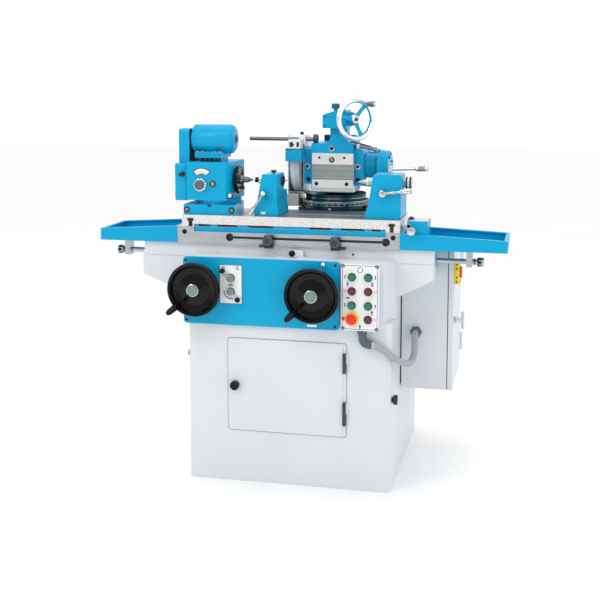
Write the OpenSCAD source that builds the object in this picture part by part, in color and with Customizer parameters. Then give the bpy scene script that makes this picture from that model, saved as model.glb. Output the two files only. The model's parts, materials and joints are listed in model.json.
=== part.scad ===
// Universal tool and cylindrical grinder: a cabinet base with bed wings, a hydraulic table with a
// workhead and two tailstocks, and a wheelhead that swivels, rises and slides across the bed.
// Units: mm. +X right, +Y away from the operator, +Z up. Origin: bottom centre of the base.

/* [Base] */
// Width of the base cabinet
base_w = 780; // [740:10:800]
// Depth of the base cabinet
base_d = 800; // [780:10:840]
// Height of the bed ways, where the table slides
way_z = 900; // [880:5:920]
// Width of the front door
door_w = 441; // [360:1:480]
// Height of the front door
door_h = 355; // [300:1:380]

/* [Table] */
// Length of the lower table without its trays
table_l = 862; // [800:2:900]
// Depth of both tables
table_d = 250; // [240:2:260]
// Height of the lower table
lower_h = 66; // [60:1:72]
// Height of the upper table
upper_h = 45; // [40:1:50]
// Width of a coolant tray
tray_d = 240; // [200:5:245]

/* [Heads] */
// Height of the work centres above the upper table
centre_h = 130; // [125:1:140]
// Diameter of the grinding wheel
wheel_dia = 220; // [160:5:226]
// Thickness of the grinding wheel
wheel_t = 42; // [16:1:44]

/* [Controls] */
// Diameter of the two front handwheels
handwheel_dia = 205; // [180:5:210]
// Diameter of the elevation handwheel
lift_wheel_dia = 175; // [150:5:200]

/* [Hidden] */
$fn = 64;
sky_blue = "#1f9fe0";
casting_grey = "#dfe3e8";
steel = "#b9bdc2";
bright = "#d9dce0";
black = "#1b1c1f";
dark = "#3a3d42";

// Base and bed
base_front = -base_d / 2;
bed_front = -290;
bed_back = -150;
bed_left = -609;
bed_right = 531;
bed_z = way_z - 30;
apron_z = way_z - 38;
wall = 14;
shoulder_z = 640;
neck_w = 722;
channel_y = -215;
channel_w = 50;

// Front panel and control box
panel_front = base_front - 15;
panel_x = [-402, 199];
panel_z = [611, 866];
box_x = [207, 347];
box_z = [617, 864];
box_front = base_front - 30;
table_hub = [-344, 750];
cross_hub = [105, 746];
shaft_d = 24;
valve_x = -214;
valve_z = [791, 739];

// Front door
door_x = -231;
door_z = 203;
door_hinge = [217, base_front - 9];
knob_x = -203;
knob_z = 378;

// Electrical cabinet
cab_x = [395, 572];
cab_y = [-145, 245];
cab_z = [333, 890];
cab_hinge = [597, 251];
hose_d = 26;
gland_x = 451;
gland_z = 558;

// Table
table_x = -458;
table_front = -310;
table_back = table_front + table_d;
upper_z = way_z + lower_h;
top_z = upper_z + upper_h;
slot_z = way_z + 28;
gutter_x = [-392, 352];
trip = [16, way_z - 23];
t_slot_y = -200;
tray_z = way_z + 2;
pivot = [-30, -185];
adjuster = [449, 975];
rod_z = 852;
switch_z = 790;

// Work axis, shared by the workhead and the tailstocks
work_y = -200;
work_z = top_z + centre_h;
workhead_pivot = [-325, -200];
run = 0.04;

// Wheelhead
swivel = [90, 80];
spindle_z = 1182;
cross_way_z = 925;
slide_z = 1018;
ring_z = 1070;
housing_z = 1078;
lift_wheel = [195, -60, 1373];
lift_turn = 40;
spindle_d = 40;
clamp = [190, 10];
motor_at = [300, 1150];

// ---- Helpers ----

// A block given by its limits along each axis
module block(x, y, z) {
    translate([x[0], y[0], z[0]]) cube([x[1] - x[0], y[1] - y[0], z[1] - z[0]]);
}

// Round bars along each axis
module bar_x(d, x, y, z) {
    translate([x[0], y, z]) rotate([0, 90, 0]) cylinder(d = d, h = x[1] - x[0]);
}

module bar_y(d, x, y, z) {
    translate([x, y[1], z]) rotate([90, 0, 0]) cylinder(d = d, h = y[1] - y[0]);
}

module bar_z(d, x, y, z) {
    translate([x, y, z[0]]) cylinder(d = d, h = z[1] - z[0]);
}

// A flat shape drawn in X and Z, standing between two Y positions
module across(y) {
    translate([0, y[1], 0]) rotate([90, 0, 0]) linear_extrude(y[1] - y[0]) children();
}

// A flat shape drawn in Y and Z, running between two X positions
module along(x) {
    translate([x[0], 0, 0]) rotate([90, 0, 90]) linear_extrude(x[1] - x[0]) children();
}

function unit(v) = v / norm(v);

// Points of an arc of radius r that rounds the corner b between a and c; a straight corner stays
function fillet(a, b, c, r, n = 5) =
    norm(unit(a - b) + unit(c - b)) < 0.01 ? [b] :
    let (
        u = unit(a - b),
        v = unit(c - b),
        half = acos(u * v) / 2,
        centre = b + unit(u + v) * r / sin(half),
        start = b + u * r / tan(half) - centre,
        finish = b + v * r / tan(half) - centre,
        a0 = atan2(start[1], start[0]),
        turn = atan2(finish[1], finish[0]) - a0,
        sweep = turn > 180 ? turn - 360 : turn < -180 ? turn + 360 : turn
    )
    [for (i = [0:n]) centre + r * [cos(a0 + sweep * i / n), sin(a0 + sweep * i / n)]];

// A polygon with every corner rounded
module rounded_polygon(points, r) {
    count = len(points);
    polygon([
        for (i = [0:count - 1])
            each fillet(points[(i + count - 1) % count], points[i], points[(i + 1) % count], r)
    ]);
}

// A rectangle from its limits, with rounded corners
module rounded_rect(x, y, r) {
    rounded_polygon([[x[0], y[0]], [x[1], y[0]], [x[1], y[1]], [x[0], y[1]]], r);
}

// ---- Base ----

// Hinge knuckles of the front door: the casting holds the upper half of each and its pin
module door_hinges(part) {
    for (z = [[252, 334], [452, 519]]) {
        middle = (z[0] + z[1]) / 2;
        if (part == "casting") {
            bar_z(12, door_hinge[0], door_hinge[1], [middle + 0.3, z[1]]);
            bar_z(6, door_hinge[0], door_hinge[1], [z[0] + 4, middle + 4]);
            block(
                [door_hinge[0], door_hinge[0] + 14], [door_hinge[1] + 2, base_front + 1],
                [middle + 0.3, z[1]]
            );
        }
        if (part == "door") {
            difference() {
                union() {
                    bar_z(12, door_hinge[0], door_hinge[1], [z[0], middle - 0.3]);
                    block(
                        [door_hinge[0] - 14, door_hinge[0]], [base_front - 7.5, base_front - 3],
                        [z[0], middle - 0.3]
                    );
                }
                bar_z(6 + 2 * run, door_hinge[0], door_hinge[1], [z[0] + 2, middle + 1]);
            }
        }
    }
}

module base_casting() {
    half_w = base_w / 2;
    neck = neck_w / 2;
    anchor_d = 18;
    color(casting_grey) difference() {
        union() {
            linear_extrude(shoulder_z) rounded_rect([-half_w, half_w], [base_front, -base_front], 18);
            // Neck, narrower at the front
            translate([0, 0, shoulder_z - 1]) linear_extrude(apron_z - shoulder_z + 1)
                polygon([
                    [-neck, base_front], [neck, base_front], [half_w, bed_front], [half_w, -base_front],
                    [-half_w, -base_front], [-half_w, bed_front]
                ]);
            // Bed wings
            across([bed_front, bed_back])
                rounded_polygon([
                    [bed_left, bed_z], [bed_left, 770], [-513, 732], [-350, 700], [350, 690],
                    [403, 722], [bed_right, 788], [bed_right, bed_z]
                ], 14);
            // Bed ways
            block([bed_left + 9, bed_right], [bed_front - 5, channel_y - channel_w / 2], [bed_z - 20, way_z]);
            block([bed_left + 9, bed_right], [channel_y + channel_w / 2, bed_back], [bed_z - 20, way_z]);
            // Cross ways behind the table
            for (x = [-20, 160])
                block([x, x + 40], [20, -base_front - 5], [apron_z - 1, cross_way_z]);
            // Bosses of the handwheel shafts
            bar_y(70, cross_hub[0], [base_front + 1, base_front + 60], cross_hub[1]);
            door_hinges("casting");
        }
        // Hollow of the cabinet and of the neck
        block(
            [-half_w + wall, half_w - wall], [base_front + wall, -base_front - wall],
            [wall, shoulder_z - 24]
        );
        block([-300, 300], [base_front + wall + 40, -base_front - wall], [shoulder_z - 30, 800]);
        // Door opening
        block([door_x + 15, door_x + door_w - 15], [base_front - 1, base_front + wall + 1],
            [door_z + 15, door_z + door_h - 15]);
        // Channel between the ways for the table cylinder
        block([bed_left - 1, bed_right + 1], [channel_y - channel_w / 2, channel_y + channel_w / 2],
            [rod_z - 28, way_z + 1]);
        // Shaft bores
        bar_y(shaft_d + 2 * run, cross_hub[0], [base_front - 2, base_front + 62], cross_hub[1]);
        bar_y(shaft_d + 2 * run, table_hub[0], [base_front - 1, base_front + 40], table_hub[1]);
        // Levelling and anchor bolt holes
        for (x = [-320, 320], y = [-330, 330])
            bar_z(anchor_d, x, y, [-1, wall + 1]);
        // Reversing lever shaft
        bar_y(12 + 2 * run, trip[0], [bed_front - 6, bed_front + 20], trip[1]);
        // Door knob keeper
        block([knob_x - 6, knob_x + 6], [base_front - 1, base_front + 3], [knob_z - 14, knob_z + 14]);
    }
}

module front_panel() {
    color(sky_blue) difference() {
        across([panel_front, base_front]) rounded_rect(panel_x, panel_z, 14);
        bar_y(shaft_d + 2 * run, table_hub[0], [panel_front - 1, base_front + 1], table_hub[1]);
        bar_y(shaft_d + 2 * run, cross_hub[0], [panel_front - 1, base_front + 1], cross_hub[1]);
        for (z = valve_z)
            bar_y(12 + 2 * run, valve_x, [panel_front - 1, base_front + 1], z);
    }
}

module valve_plate() {
    color(bright) difference() {
        across([panel_front - 3, panel_front]) rounded_rect([-258, -170], [693, 841], 6);
        for (z = valve_z)
            bar_y(12 + 2 * run, valve_x, [panel_front - 4, panel_front + 1], z);
    }
}

// Lever on a valve spindle; angle is that of the arm, counted from +X
module valve_lever(z, angle) {
    arm = 40;
    front = panel_front - 3;
    color(steel) {
        bar_y(12, valve_x, [front - 18, base_front], z);
        bar_y(26, valve_x, [front - 18, front - 1], z);
        translate([valve_x, front - 12, z]) rotate([0, -angle, 0]) {
            bar_x(8, [0, arm], 0, 0);
            translate([arm, 0, 0]) rotate([90, 0, 0]) sphere(d = 20);
        }
    }
}

module valve_lever_upper() { valve_lever(valve_z[0], 137); }
module valve_lever_lower() { valve_lever(valve_z[1], -45); }

// Button positions: two columns of four
button_x = [248, 308];
button_z = [816, 764, 711, 661];
button_stem = 14;
stop_d = 40;

module control_box() {
    skin = 4;
    bezel = 4;
    color(casting_grey) difference() {
        union() {
            across([box_front, base_front]) rounded_rect(box_x, box_z, 5);
            for (x = button_x, z = button_z)
                bar_y(31, x, [box_front - bezel, box_front + 1], z);
        }
        block([box_x[0] + skin, box_x[1] - skin], [box_front + skin, base_front + 1],
            [box_z[0] + skin, box_z[1] - skin]);
        for (x = button_x, z = button_z) {
            bar_y(button_stem + 2 * run, x, [box_front - bezel - 1, box_front + skin + 1], z);
            bar_y(27, x, [box_front - bezel - 1, box_front], z);
        }
        // Conduit entry
        bar_z(24, 285, base_front - 15, [box_z[0] - 1, box_z[0] + skin + 1]);
    }
}

module push_button(column, row, tint) {
    color(tint) {
        bar_y(26, button_x[column], [box_front - 13, box_front - 5], button_z[row]);
        bar_y(button_stem, button_x[column], [box_front - 6, box_front + 14], button_z[row]);
    }
}

module button_1() { push_button(0, 0, "#2f8f5b"); }
module button_2() { push_button(1, 0, "#2f8f5b"); }
module button_3() { push_button(0, 1, "#7d2a33"); }
module button_4() { push_button(1, 1, "#7d2a33"); }
module button_5() { push_button(0, 2, "#2f8f5b"); }
module button_6() { push_button(1, 2, "#2f8f5b"); }
module button_8() { push_button(1, 3, "#7d2a33"); }

module emergency_stop() {
    color("#d3202a") {
        bar_y(button_stem, button_x[0], [box_front - 14, box_front + 14], button_z[3]);
        translate([button_x[0], box_front - 12, button_z[3]]) rotate([90, 0, 0])
            rotate_extrude() polygon([
                [0, 0], [stop_d / 2 - 3, 0], [stop_d / 2, 4], [stop_d / 2 - 4, 10], [0, 13]
            ]);
    }
}

// ---- Conduit ----

elbow = [285, base_front - 17.5];
elbow_z = 565;

module conduit_fittings() {
    color(dark) {
        difference() {
            union() {
                bar_z(30, elbow[0], elbow[1], [elbow_z - 14, box_z[0]]);
                bar_x(30, [elbow[0] - 14, elbow[0] + 44], elbow[1], elbow_z);
                bar_z(34, elbow[0], elbow[1], [box_z[0] - 12, box_z[0]]);
            }
            bar_x(hose_d + 1, [elbow[0] + 24, elbow[0] + 45], elbow[1], elbow_z);
        }
        difference() {
            union() {
                bar_y(36, gland_x, [cab_y[0] - 26, cab_y[0] - 10], gland_z);
                translate([gland_x, cab_y[0], gland_z]) rotate([90, 0, 0]) cylinder(d = 42, h = 12, $fn = 6);
            }
            bar_y(hose_d + 1, gland_x, [cab_y[0] - 27, cab_y[0] - 12], gland_z);
        }
    }
}

// Route of the conduit between its two fittings
hose_route = [
    [311, -417.5, 565], [336, -418.5, 563], [368, -420, 545], [405, -404, 514], [436, -350, 486],
    [451, -290, 478], [456, -245, 498], [454, -210, 533], [451, -185, 554], [451, -162, 558]
];

function bend(p, i, t) =
    let (
        last = len(p) - 1,
        a = p[max(i - 1, 0)],
        b = p[i],
        c = p[min(i + 1, last)],
        d = p[min(i + 2, last)]
    )
    0.5 * (2 * b + (c - a) * t + (2 * a - 5 * b + 4 * c - d) * t * t + (3 * b - a - 3 * c + d) * t * t * t);

// A round tube through a list of points
module swept_tube(path, d, sides = 10) {
    last = len(path) - 1;
    tangent = [for (i = [0:last]) unit(path[min(i + 1, last)] - path[max(i - 1, 0)])];
    points = [
        for (i = [0:last])
            let (u = unit(cross(tangent[i], [0.3, 0.2, 1])), v = cross(tangent[i], u))
            for (k = [0:sides - 1])
                path[i] + d / 2 * (u * cos(360 * k / sides) + v * sin(360 * k / sides))
    ];
    skin = [
        for (i = [0:last - 1], k = [0:sides - 1])
            let (a = i * sides + k, b = i * sides + (k + 1) % sides)
            each [[a, b + sides, b], [a, a + sides, b + sides]]
    ];
    cap = [for (k = [0:sides - 1]) k];
    far_cap = [for (k = [sides - 1:-1:0]) last * sides + k];
    polyhedron(points, concat(skin, [far_cap, cap]));
}

module flexible_conduit() {
    steps = 2;
    path = [
        for (i = [0:len(hose_route) - 2], s = [0:steps - 1]) bend(hose_route, i, s / steps),
        hose_route[len(hose_route) - 1]
    ];
    color("#8f959c") swept_tube(path, hose_d);
}

// ---- Electrical cabinet ----

module electrical_cabinet() {
    skin = 3;
    color(casting_grey) {
        difference() {
            block(cab_x, cab_y, cab_z);
            block([cab_x[0] + skin, cab_x[1] + 1], [cab_y[0] + skin, cab_y[1] - skin],
                [cab_z[0] + skin, cab_z[1] - skin]);
            bar_y(24, gland_x, [cab_y[0] - 1, cab_y[0] + skin + 1], gland_z);
        }
        // Stand-offs on the side of the base
        for (y = [-90, 190], z = [400, 600])
            bar_x(30, [base_w / 2, cab_x[0] + 1], y, z);
        // Switchgear on its mounting plate
        block([cab_x[0] + skin + 10, cab_x[0] + skin + 14], [-120, 220], [370, 850]);
        for (z = [420, 560, 700])
            block([cab_x[0] + skin + 13, cab_x[0] + 90], [-90, 190], [z, z + 80]);
        for (y = [-90, 190], z = [400, 820])
            bar_x(10, [cab_x[0] + 1, cab_x[0] + skin + 12], y, z);
        // Hinge post
        for (z = [400, 780])
            block([cab_x[1] - 24, cab_hinge[0]], [cab_y[1] - 1, cab_y[1] + 2], [z, z + 40]);
        for (z = [400, 780]) {
            bar_z(10, cab_hinge[0], cab_hinge[1], [z, z + 40]);
            bar_z(5, cab_hinge[0], cab_hinge[1], [z, z + 70]);
        }
        for (z = [400, 780])
            block([cab_hinge[0] - 5, cab_hinge[0]], [cab_y[1], cab_hinge[1]], [z, z + 40]);
    }
}

module cabinet_door() {
    door = [cab_x[1] + 1, cab_x[1] + 20];
    color(casting_grey) difference() {
        union() {
            block(door, [cab_y[0], cab_y[1] - 1], cab_z);
            for (z = [440.5, 820.5]) {
                bar_z(10, cab_hinge[0], cab_hinge[1], [z, z + 32]);
                block([door[1] - 3, cab_hinge[0]], [cab_y[1] - 4, cab_hinge[1]], [z, z + 32]);
            }
        }
        block([door[0] - 1, door[1] - 3], [cab_y[0] + 3, cab_y[1] - 4], [cab_z[0] + 3, cab_z[1] - 3]);
        for (z = [440, 820])
            bar_z(5 + 2 * run, cab_hinge[0], cab_hinge[1], [z, z + 31]);
        bar_x(12 + 2 * run, [door[0], door[1] + 1], -95, switch_z);
        bar_x(12 + 2 * run, [door[0], door[1] + 1], -100, 602);
    }
}

module main_switch() {
    front = cab_x[1] + 20;
    color("#c8252c") {
        bar_x(12, [front - 8, front + 12], -95, switch_z);
        bar_x(50, [front + 3, front + 14], -95, switch_z);
        block([front + 12, front + 28], [-101, -89], [switch_z - 22, switch_z + 22]);
    }
}

module latch_handle() {
    front = cab_x[1] + 20;
    color(bright) {
        bar_x(12, [front - 8, front + 34], -100, 602);
        bar_x(28, [front + 0.3, front + 8], -100, 602);
        bar_z(12, front + 34, -100, [568, 636]);
    }
}

// ---- Hydraulics ----

module hydraulic_cylinder() {
    ends = [-380, 320];
    color(dark) difference() {
        union() {
            bar_x(44, ends, channel_y, rod_z + 2);
            for (x = [ends[0], ends[1] - 24])
                block([x, x + 24], [channel_y - 24.5, channel_y + 24.5], [rod_z - 28, rod_z + 26]);
        }
        bar_x(20 + 2 * run, [ends[0] - 1, ends[1] + 1], channel_y, rod_z);
        bar_x(36 + 2 * run, [ends[0] + 24, ends[1] - 24], channel_y, rod_z);
    }
}

module piston_rods() {
    left = -738;
    right = 708;
    color(steel) {
        bar_x(20, [left, right], channel_y, rod_z);
        bar_x(36, [-60, 0], channel_y, rod_z);
        for (x = [left, right - 18])
            translate([x, channel_y, rod_z]) rotate([0, 90, 0]) cylinder(d = 34, h = 18, $fn = 6);
        // Brackets that carry the rods under the trays
        for (x = [-706, 644])
            block([x, x + 22], [channel_y - 22, channel_y + 22], [rod_z - 18, tray_z]);
    }
}

module hydraulic_unit() {
    color(dark) {
        difference() {
            block([-240, 240], [-180, 240], [wall, 170]);
            block([-234, 234], [-174, 234], [wall + 6, 164]);
        }
        bar_z(120, 90, 60, [169, 360]);
        bar_z(150, 90, 60, [169, 182]);
        block([-190, -90], [-40, 80], [169, 250]);
    }
}

// ---- Table ----

module lower_table() {
    right = table_x + table_l;
    groove = 9.5;
    color(steel) difference() {
        block([table_x, right], [table_front, table_back], [way_z, upper_z]);
        // T-slot of the dogs
        block([-249, 353], [table_front - 1, table_front + 14], [slot_z - groove / 2, slot_z + groove / 2]);
        block([-249, 353], [table_front + 7, table_front + 14], [slot_z - 9, slot_z + 9]);
        for (x = [-249, 353])
            bar_y(27, x, [table_front - 1, table_front + 14], slot_z);
        // Drain gutter along the front
        block(gutter_x, [table_front - 1, table_front + 8], [upper_z - 19, upper_z + 1]);
        // End holes
        bar_y(19, -430, [table_front - 1, table_front + 16], way_z + 45);
        bar_y(19, 380, [table_front - 1, table_front + 16], way_z + 46);
        // Pivot of the upper table
        bar_z(40 + 2 * run, pivot[0], pivot[1], [upper_z - 20, upper_z + 1]);
    }
}

// A trough with a flanged rim that gets shallower away from the table
module tray(near, far, near_h, far_h) {
    skin = 4;
    rim = 9;
    y = [table_front, table_front + tray_d];
    step = sign(far - near);
    color(sky_blue) {
        difference() {
            across(y) polygon([
                [near, tray_z], [far, tray_z], [far, tray_z + far_h - 6], [near, tray_z + near_h - 2]
            ]);
            across([y[0] + skin, y[1] - skin]) polygon([
                [near + step * skin, tray_z + skin], [far - step * skin, tray_z + skin],
                [far - step * skin, tray_z + 200], [near + step * skin, tray_z + 200]
            ]);
        }
        // Rim, a flange round the inside of the top edge
        difference() {
            across([y[0], y[1]]) polygon([
                [near, tray_z + near_h - 6], [far, tray_z + far_h - 6],
                [far, tray_z + far_h], [near, tray_z + near_h]
            ]);
            block([min(near, far) + rim + skin, max(near, far) - rim - skin],
                [y[0] + rim + skin, y[1] - rim - skin],
                [tray_z, tray_z + 200]);
        }
    }
}

module left_tray() { tray(table_x, -778, 64, 46); }

module right_tray() {
    near = table_x + table_l;
    tray(near, 797, 62, 44);
    // Block of the fine adjustment of the upper table
    color(sky_blue) difference() {
        block([near + 26, near + 102], [table_front + 13, -190], [tray_z + 3, top_z - 2]);
        bar_y(16 + 2 * run, adjuster[0], [table_front, -260], adjuster[1]);
    }
}

module upper_table() {
    x = [-440, 405];
    color(bright) {
        difference() {
            block(x, [table_front, table_back], [upper_z, top_z]);
            block([x[0] - 1, x[1] + 1], [t_slot_y - 7, t_slot_y + 7], [top_z - 12, top_z + 1]);
            block([x[0] - 1, x[1] + 1], [t_slot_y - 12, t_slot_y + 12], [top_z - 23, top_z - 12]);
            // Relief over the drain gutter
            block(gutter_x, [table_front - 1, table_front + 8], [upper_z - 1, upper_z + 10]);
            // Clamp notches at the ends
            block([-414, -398], [table_front - 1, table_front + 12], [upper_z - 1, top_z - 12]);
            block([366, 382], [table_front - 1, table_front + 12], [upper_z - 1, top_z - 12]);
        }
        bar_z(40, pivot[0], pivot[1], [upper_z - 19, upper_z + 1]);
    }
}

module swivel_knob() {
    color(bright) {
        bar_y(30, adjuster[0], [table_front - 30, table_front - 8], adjuster[1]);
        bar_y(16, adjuster[0], [table_front - 10, -262], adjuster[1]);
    }
}

// Trip dog clamped in the T-slot; side is where its pin points
module dog(x, side) {
    color(dark) {
        block([x - 17, x + 17], [table_front - 20, table_front - 1], [slot_z - 35, slot_z + 12]);
        block([x - 15, x + 15], [table_front - 1, table_front + 6.5], [slot_z - 4.5, slot_z + 4.5]);
        block([x - 15, x + 15], [table_front + 7.5, table_front + 13], [slot_z - 8, slot_z + 8]);
        bar_y(8, x, [table_front - 21, table_front + 10], slot_z);
        bar_y(34, x, [table_front - 42, table_front - 19], slot_z - 4);
        bar_x(10, side > 0 ? [x, x + 38] : [x - 38, x], table_front - 11, slot_z - 28);
    }
}

module left_dog() { dog(-92, -1); }
module right_dog() { dog(165, 1); }

module reversing_lever() {
    front = bed_front - 5;
    color(bright) {
        bar_y(12, trip[0], [front - 14, bed_front + 18], trip[1]);
        across([front - 14, front - 0.5])
            rounded_rect([trip[0] - 24, trip[0] + 24], [trip[1] - 9, trip[1] + 9], 8);
    }
    color(black) {
        bar_y(8, trip[0] - 14, [front - 40, front - 12], trip[1] + 1);
        translate([trip[0] - 14, front - 42, trip[1] + 1]) sphere(d = 24);
    }
}

// ---- Handwheels ----

// A dished handwheel on a shaft that runs back to the Y position tail
module dished_wheel(hub, tail) {
    face = -470;
    rim = handwheel_dia / 2;
    grip_r = rim * 0.8;
    color(black) {
        translate([hub[0], face, hub[1]]) rotate([-90, 0, 0]) {
            rotate_extrude() polygon([
                [0, -10], [19, -10], [22, 2], [60, 12], [rim - 20, 6], [rim - 12, -6], [rim - 4, -8],
                [rim, -2], [rim, 6], [rim - 5, 12], [rim - 12, 12], [rim - 22, 16], [60, 20], [24, 14],
                [20, 40], [0, 40]
            ]);
        }
        bar_y(shaft_d, hub[0], [face + 5, tail], hub[1]);
        // Handle, tilted outward
        translate([hub[0], face - 6, hub[1]])
        rotate([0, -225, 0]) translate([grip_r, 0, 0]) rotate([90, 0, 31]) {
            translate([0, 0, -17]) cylinder(d = 10, h = 25);
            rotate_extrude() polygon([[0, 0], [9, 0], [13, 24], [12, 52], [8, 64], [0, 67]]);
        }
    }
}

module table_handwheel() { dished_wheel(table_hub, base_front + 36); }

module cross_handwheel() {
    dished_wheel(cross_hub, base_front + 90);
    // Feed screw under the cross slide
    color(steel) bar_y(30, cross_hub[0], [base_front + 80, 300], cross_hub[1]);
}

// ---- Workhead ----

module workhead_base() {
    px = workhead_pivot[0];
    py = workhead_pivot[1];
    color(sky_blue) {
        difference() {
            translate([0, 0, top_z]) linear_extrude(39)
                polygon([[-438, -295], [-230, -295], [-249, -108], [-438, -108]]);
            // Clamp notch in the front
            block([px - 17, px - 1], [-296, -284], [top_z + 31, top_z + 40]);
            bar_z(30 + 2 * run, px, py, [top_z + 5, top_z + 40]);
        }
        block([px - 60, px + 60], [t_slot_y - 6.8, t_slot_y + 6.8], [top_z - 10, top_z + 4]);
    }
    color(steel) difference() {
        bar_z(184, px, py, [top_z + 38, top_z + 46]);
        bar_z(30 + 2 * run, px, py, [top_z + 5, top_z + 47]);
    }
}

module workhead_body() {
    px = workhead_pivot[0];
    py = workhead_pivot[1];
    color(sky_blue) difference() {
        union() {
            bar_z(180, px, py, [top_z + 46, top_z + 58]);
            bar_z(30, px, py, [top_z + 6, top_z + 50]);
            translate([0, 0, top_z + 56]) linear_extrude(146)
                polygon([[-424, -300], [-264, -300], [-257, -288], [-249, -100], [-424, -100]]);
            // Raised pad of the motor
            block([-388, -300], [-250, -150], [top_z + 201, 1228]);
            block([-400, -291], [-262, -138], [1227, 1238]);
        }
        bar_x(40 + 2 * run, [-425, -240], work_y, work_z);
        bar_y(12 + 2 * run, -366, [-301, -260], work_z - 14);
    }
}

module pulley_cover() {
    x = [-472, -424];
    upper_x = x[0] + 6;
    skin = 4;
    color(sky_blue) difference() {
        union() {
            along(x) rounded_polygon(
                [[-292, top_z + 52], [-108, top_z + 52], [-108, 1207], [-292, 1207]], 8);
            along([upper_x, x[1]])
                rounded_polygon([[-260, 1195], [-140, 1195], [-140, 1339], [-260, 1339]], 14);
        }
        along([x[0] + skin, x[1] + 1]) rounded_polygon(
            [[-288, top_z + 56], [-112, top_z + 56], [-112, 1203], [-288, 1203]], 6);
        along([upper_x + skin, x[1] + 1]) rounded_polygon(
            [[-256, 1199], [-144, 1199], [-144, 1335], [-256, 1335]], 10);
    }
}

module work_motor() {
    motor_z = 1298;
    r = 57;
    color(sky_blue) {
        translate([-419, work_y, motor_z]) rotate([0, 90, 0])
            rotate_extrude() polygon([
                [0, 0], [r - 4, 0], [r, 6], [r, 146], [r - 4, 157], [r - 13, 164], [20, 167], [0, 167]
            ]);
        block([-402, -293], [-260, -140], [1238, 1250]);
        block([-396, -299], [-236, -164], [1249, 1268]);
    }
    color(steel) {
        bar_x(19, [-450, -418], work_y, motor_z);
        bar_x(60, [-450, -430], work_y, motor_z);
    }
}

module work_spindle() {
    color(black) bar_x(110, [-247, -235], work_y, work_z);
    color(steel) {
        bar_x(40, [-440, -246], work_y, work_z);
        bar_x(120, [-452, -430], work_y, work_z);
        bar_x(34, [-236, -220], work_y, work_z);
        translate([-220, work_y, work_z]) rotate([0, 90, 0])
            rotate_extrude() polygon([[0, 0], [12, 0], [11, 14], [0, 37]]);
    }
}

module speed_knob() {
    z = work_z - 14;
    color(steel) {
        bar_y(12, -366, [-304, -262], z);
        bar_y(40, -366, [-318, -301], z);
        bar_y(16, -366, [-328, -317], z);
    }
}

// ---- Tailstocks ----

// Casting with a quill bore; foot and crown are its limits along X at the bottom and the top
module tailstock(foot, crown, top) {
    y = [-285, -118];
    waist = top_z + 44;
    color(sky_blue) {
        difference() {
            across(y) rounded_polygon([
                [foot[0], top_z], [foot[1], top_z], [foot[1], top_z + 24], [crown[1], waist],
                [crown[1], top], [crown[0], top], [(crown[0] + 2 * foot[0]) / 3, waist], [foot[0], top_z + 24]
            ], 5);
            bar_x(34 + 2 * run, [foot[0] - 30, foot[1] + 30], work_y, work_z);
            // Step at the back of the upper half
            block([foot[0] - 1, foot[1] + 1], [y[1] - 50, y[1] + 1], [top_z + 90, top + 1]);
        }
        block([foot[0] + 10, foot[1] - 10], [t_slot_y - 6.8, t_slot_y + 6.8], [top_z - 10, top_z + 4]);
    }
}

module quill(x, tip, dir, knob_d) {
    back = dir > 0 ? [x - 18, x] : [x, x + 22];
    color(steel) {
        if (dir > 0) bar_x(34, [x, tip - 36], work_y, work_z);
        if (dir < 0) bar_x(34, [tip + 36, x], work_y, work_z);
        translate([tip - dir * 36.5, work_y, work_z]) rotate([0, dir * 90, 0])
            rotate_extrude() polygon([[0, 0], [11, 0], [10, 10], [0, 36.5]]);
    }
    color(black) bar_x(knob_d, back, work_y, work_z);
}

module left_tailstock() { tailstock([-159, -64], [-127, -69], 1170); }
module left_quill() { quill(-158, -42, 1, 20); }
module right_tailstock() { tailstock([270, 404], [300, 404], 1177); }
module right_quill() { quill(412, 225, -1, 46); }

module left_lever() {
    color(bright) {
        bar_y(22, -117, [-312, -285.3], 1098);
        translate([-117, -304, 1098]) rotate([0, -56, 0]) bar_x(9, [-70, 0], 0, 0);
        translate([-117, -304, 1098]) rotate([0, -56, 0]) bar_x(15, [-97, -62], 0, 0);
    }
}

module right_lever_top() {
    color(bright) {
        bar_z(22, 353, -200, [1177.3, 1202]);
        translate([353, -200, 1191]) rotate([0, -3, -14]) bar_x(11, [0, 110], 0, 0);
        translate([353, -200, 1191]) rotate([0, -3, -14]) bar_x(18, [104, 148], 0, 0);
    }
}

module right_lever_front() {
    color(bright) {
        bar_y(25, 338, [-310, -285.3], 1108);
        translate([338, -302, 1108]) rotate([0, -7, 0]) bar_x(10, [0, 76], 0, 0);
        translate([338, -302, 1108]) rotate([0, -7, 0]) bar_x(19, [68, 110], 0, 0);
    }
}

// ---- Wheelhead ----

module cross_slide() {
    color(sky_blue) difference() {
        block([-55, 235], [20, 300], [cross_way_z, slide_z - 5]);
        bar_z(60 + 2 * run, swivel[0], swivel[1], [slide_z - 30, slide_z]);
    }
    color(steel) difference() {
        bar_z(268, swivel[0], swivel[1], [slide_z - 5, slide_z]);
        bar_z(60 + 2 * run, swivel[0], swivel[1], [slide_z - 6, slide_z + 1]);
    }
}

module wheelhead_swivel() {
    color(steel) {
        bar_z(270, swivel[0], swivel[1], [slide_z + 0.3, slide_z + 26]);
        bar_z(246, swivel[0], swivel[1], [slide_z + 25, ring_z]);
        bar_z(60, swivel[0], swivel[1], [slide_z - 28, slide_z + 1]);
    }
    // Column with the slideway of the head
    color(sky_blue) {
        block([25, 155], [154, 205], [ring_z - 20, 1300]);
        block([45, 135], [140, 155], [ring_z - 1, 1300]);
    }
}

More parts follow.
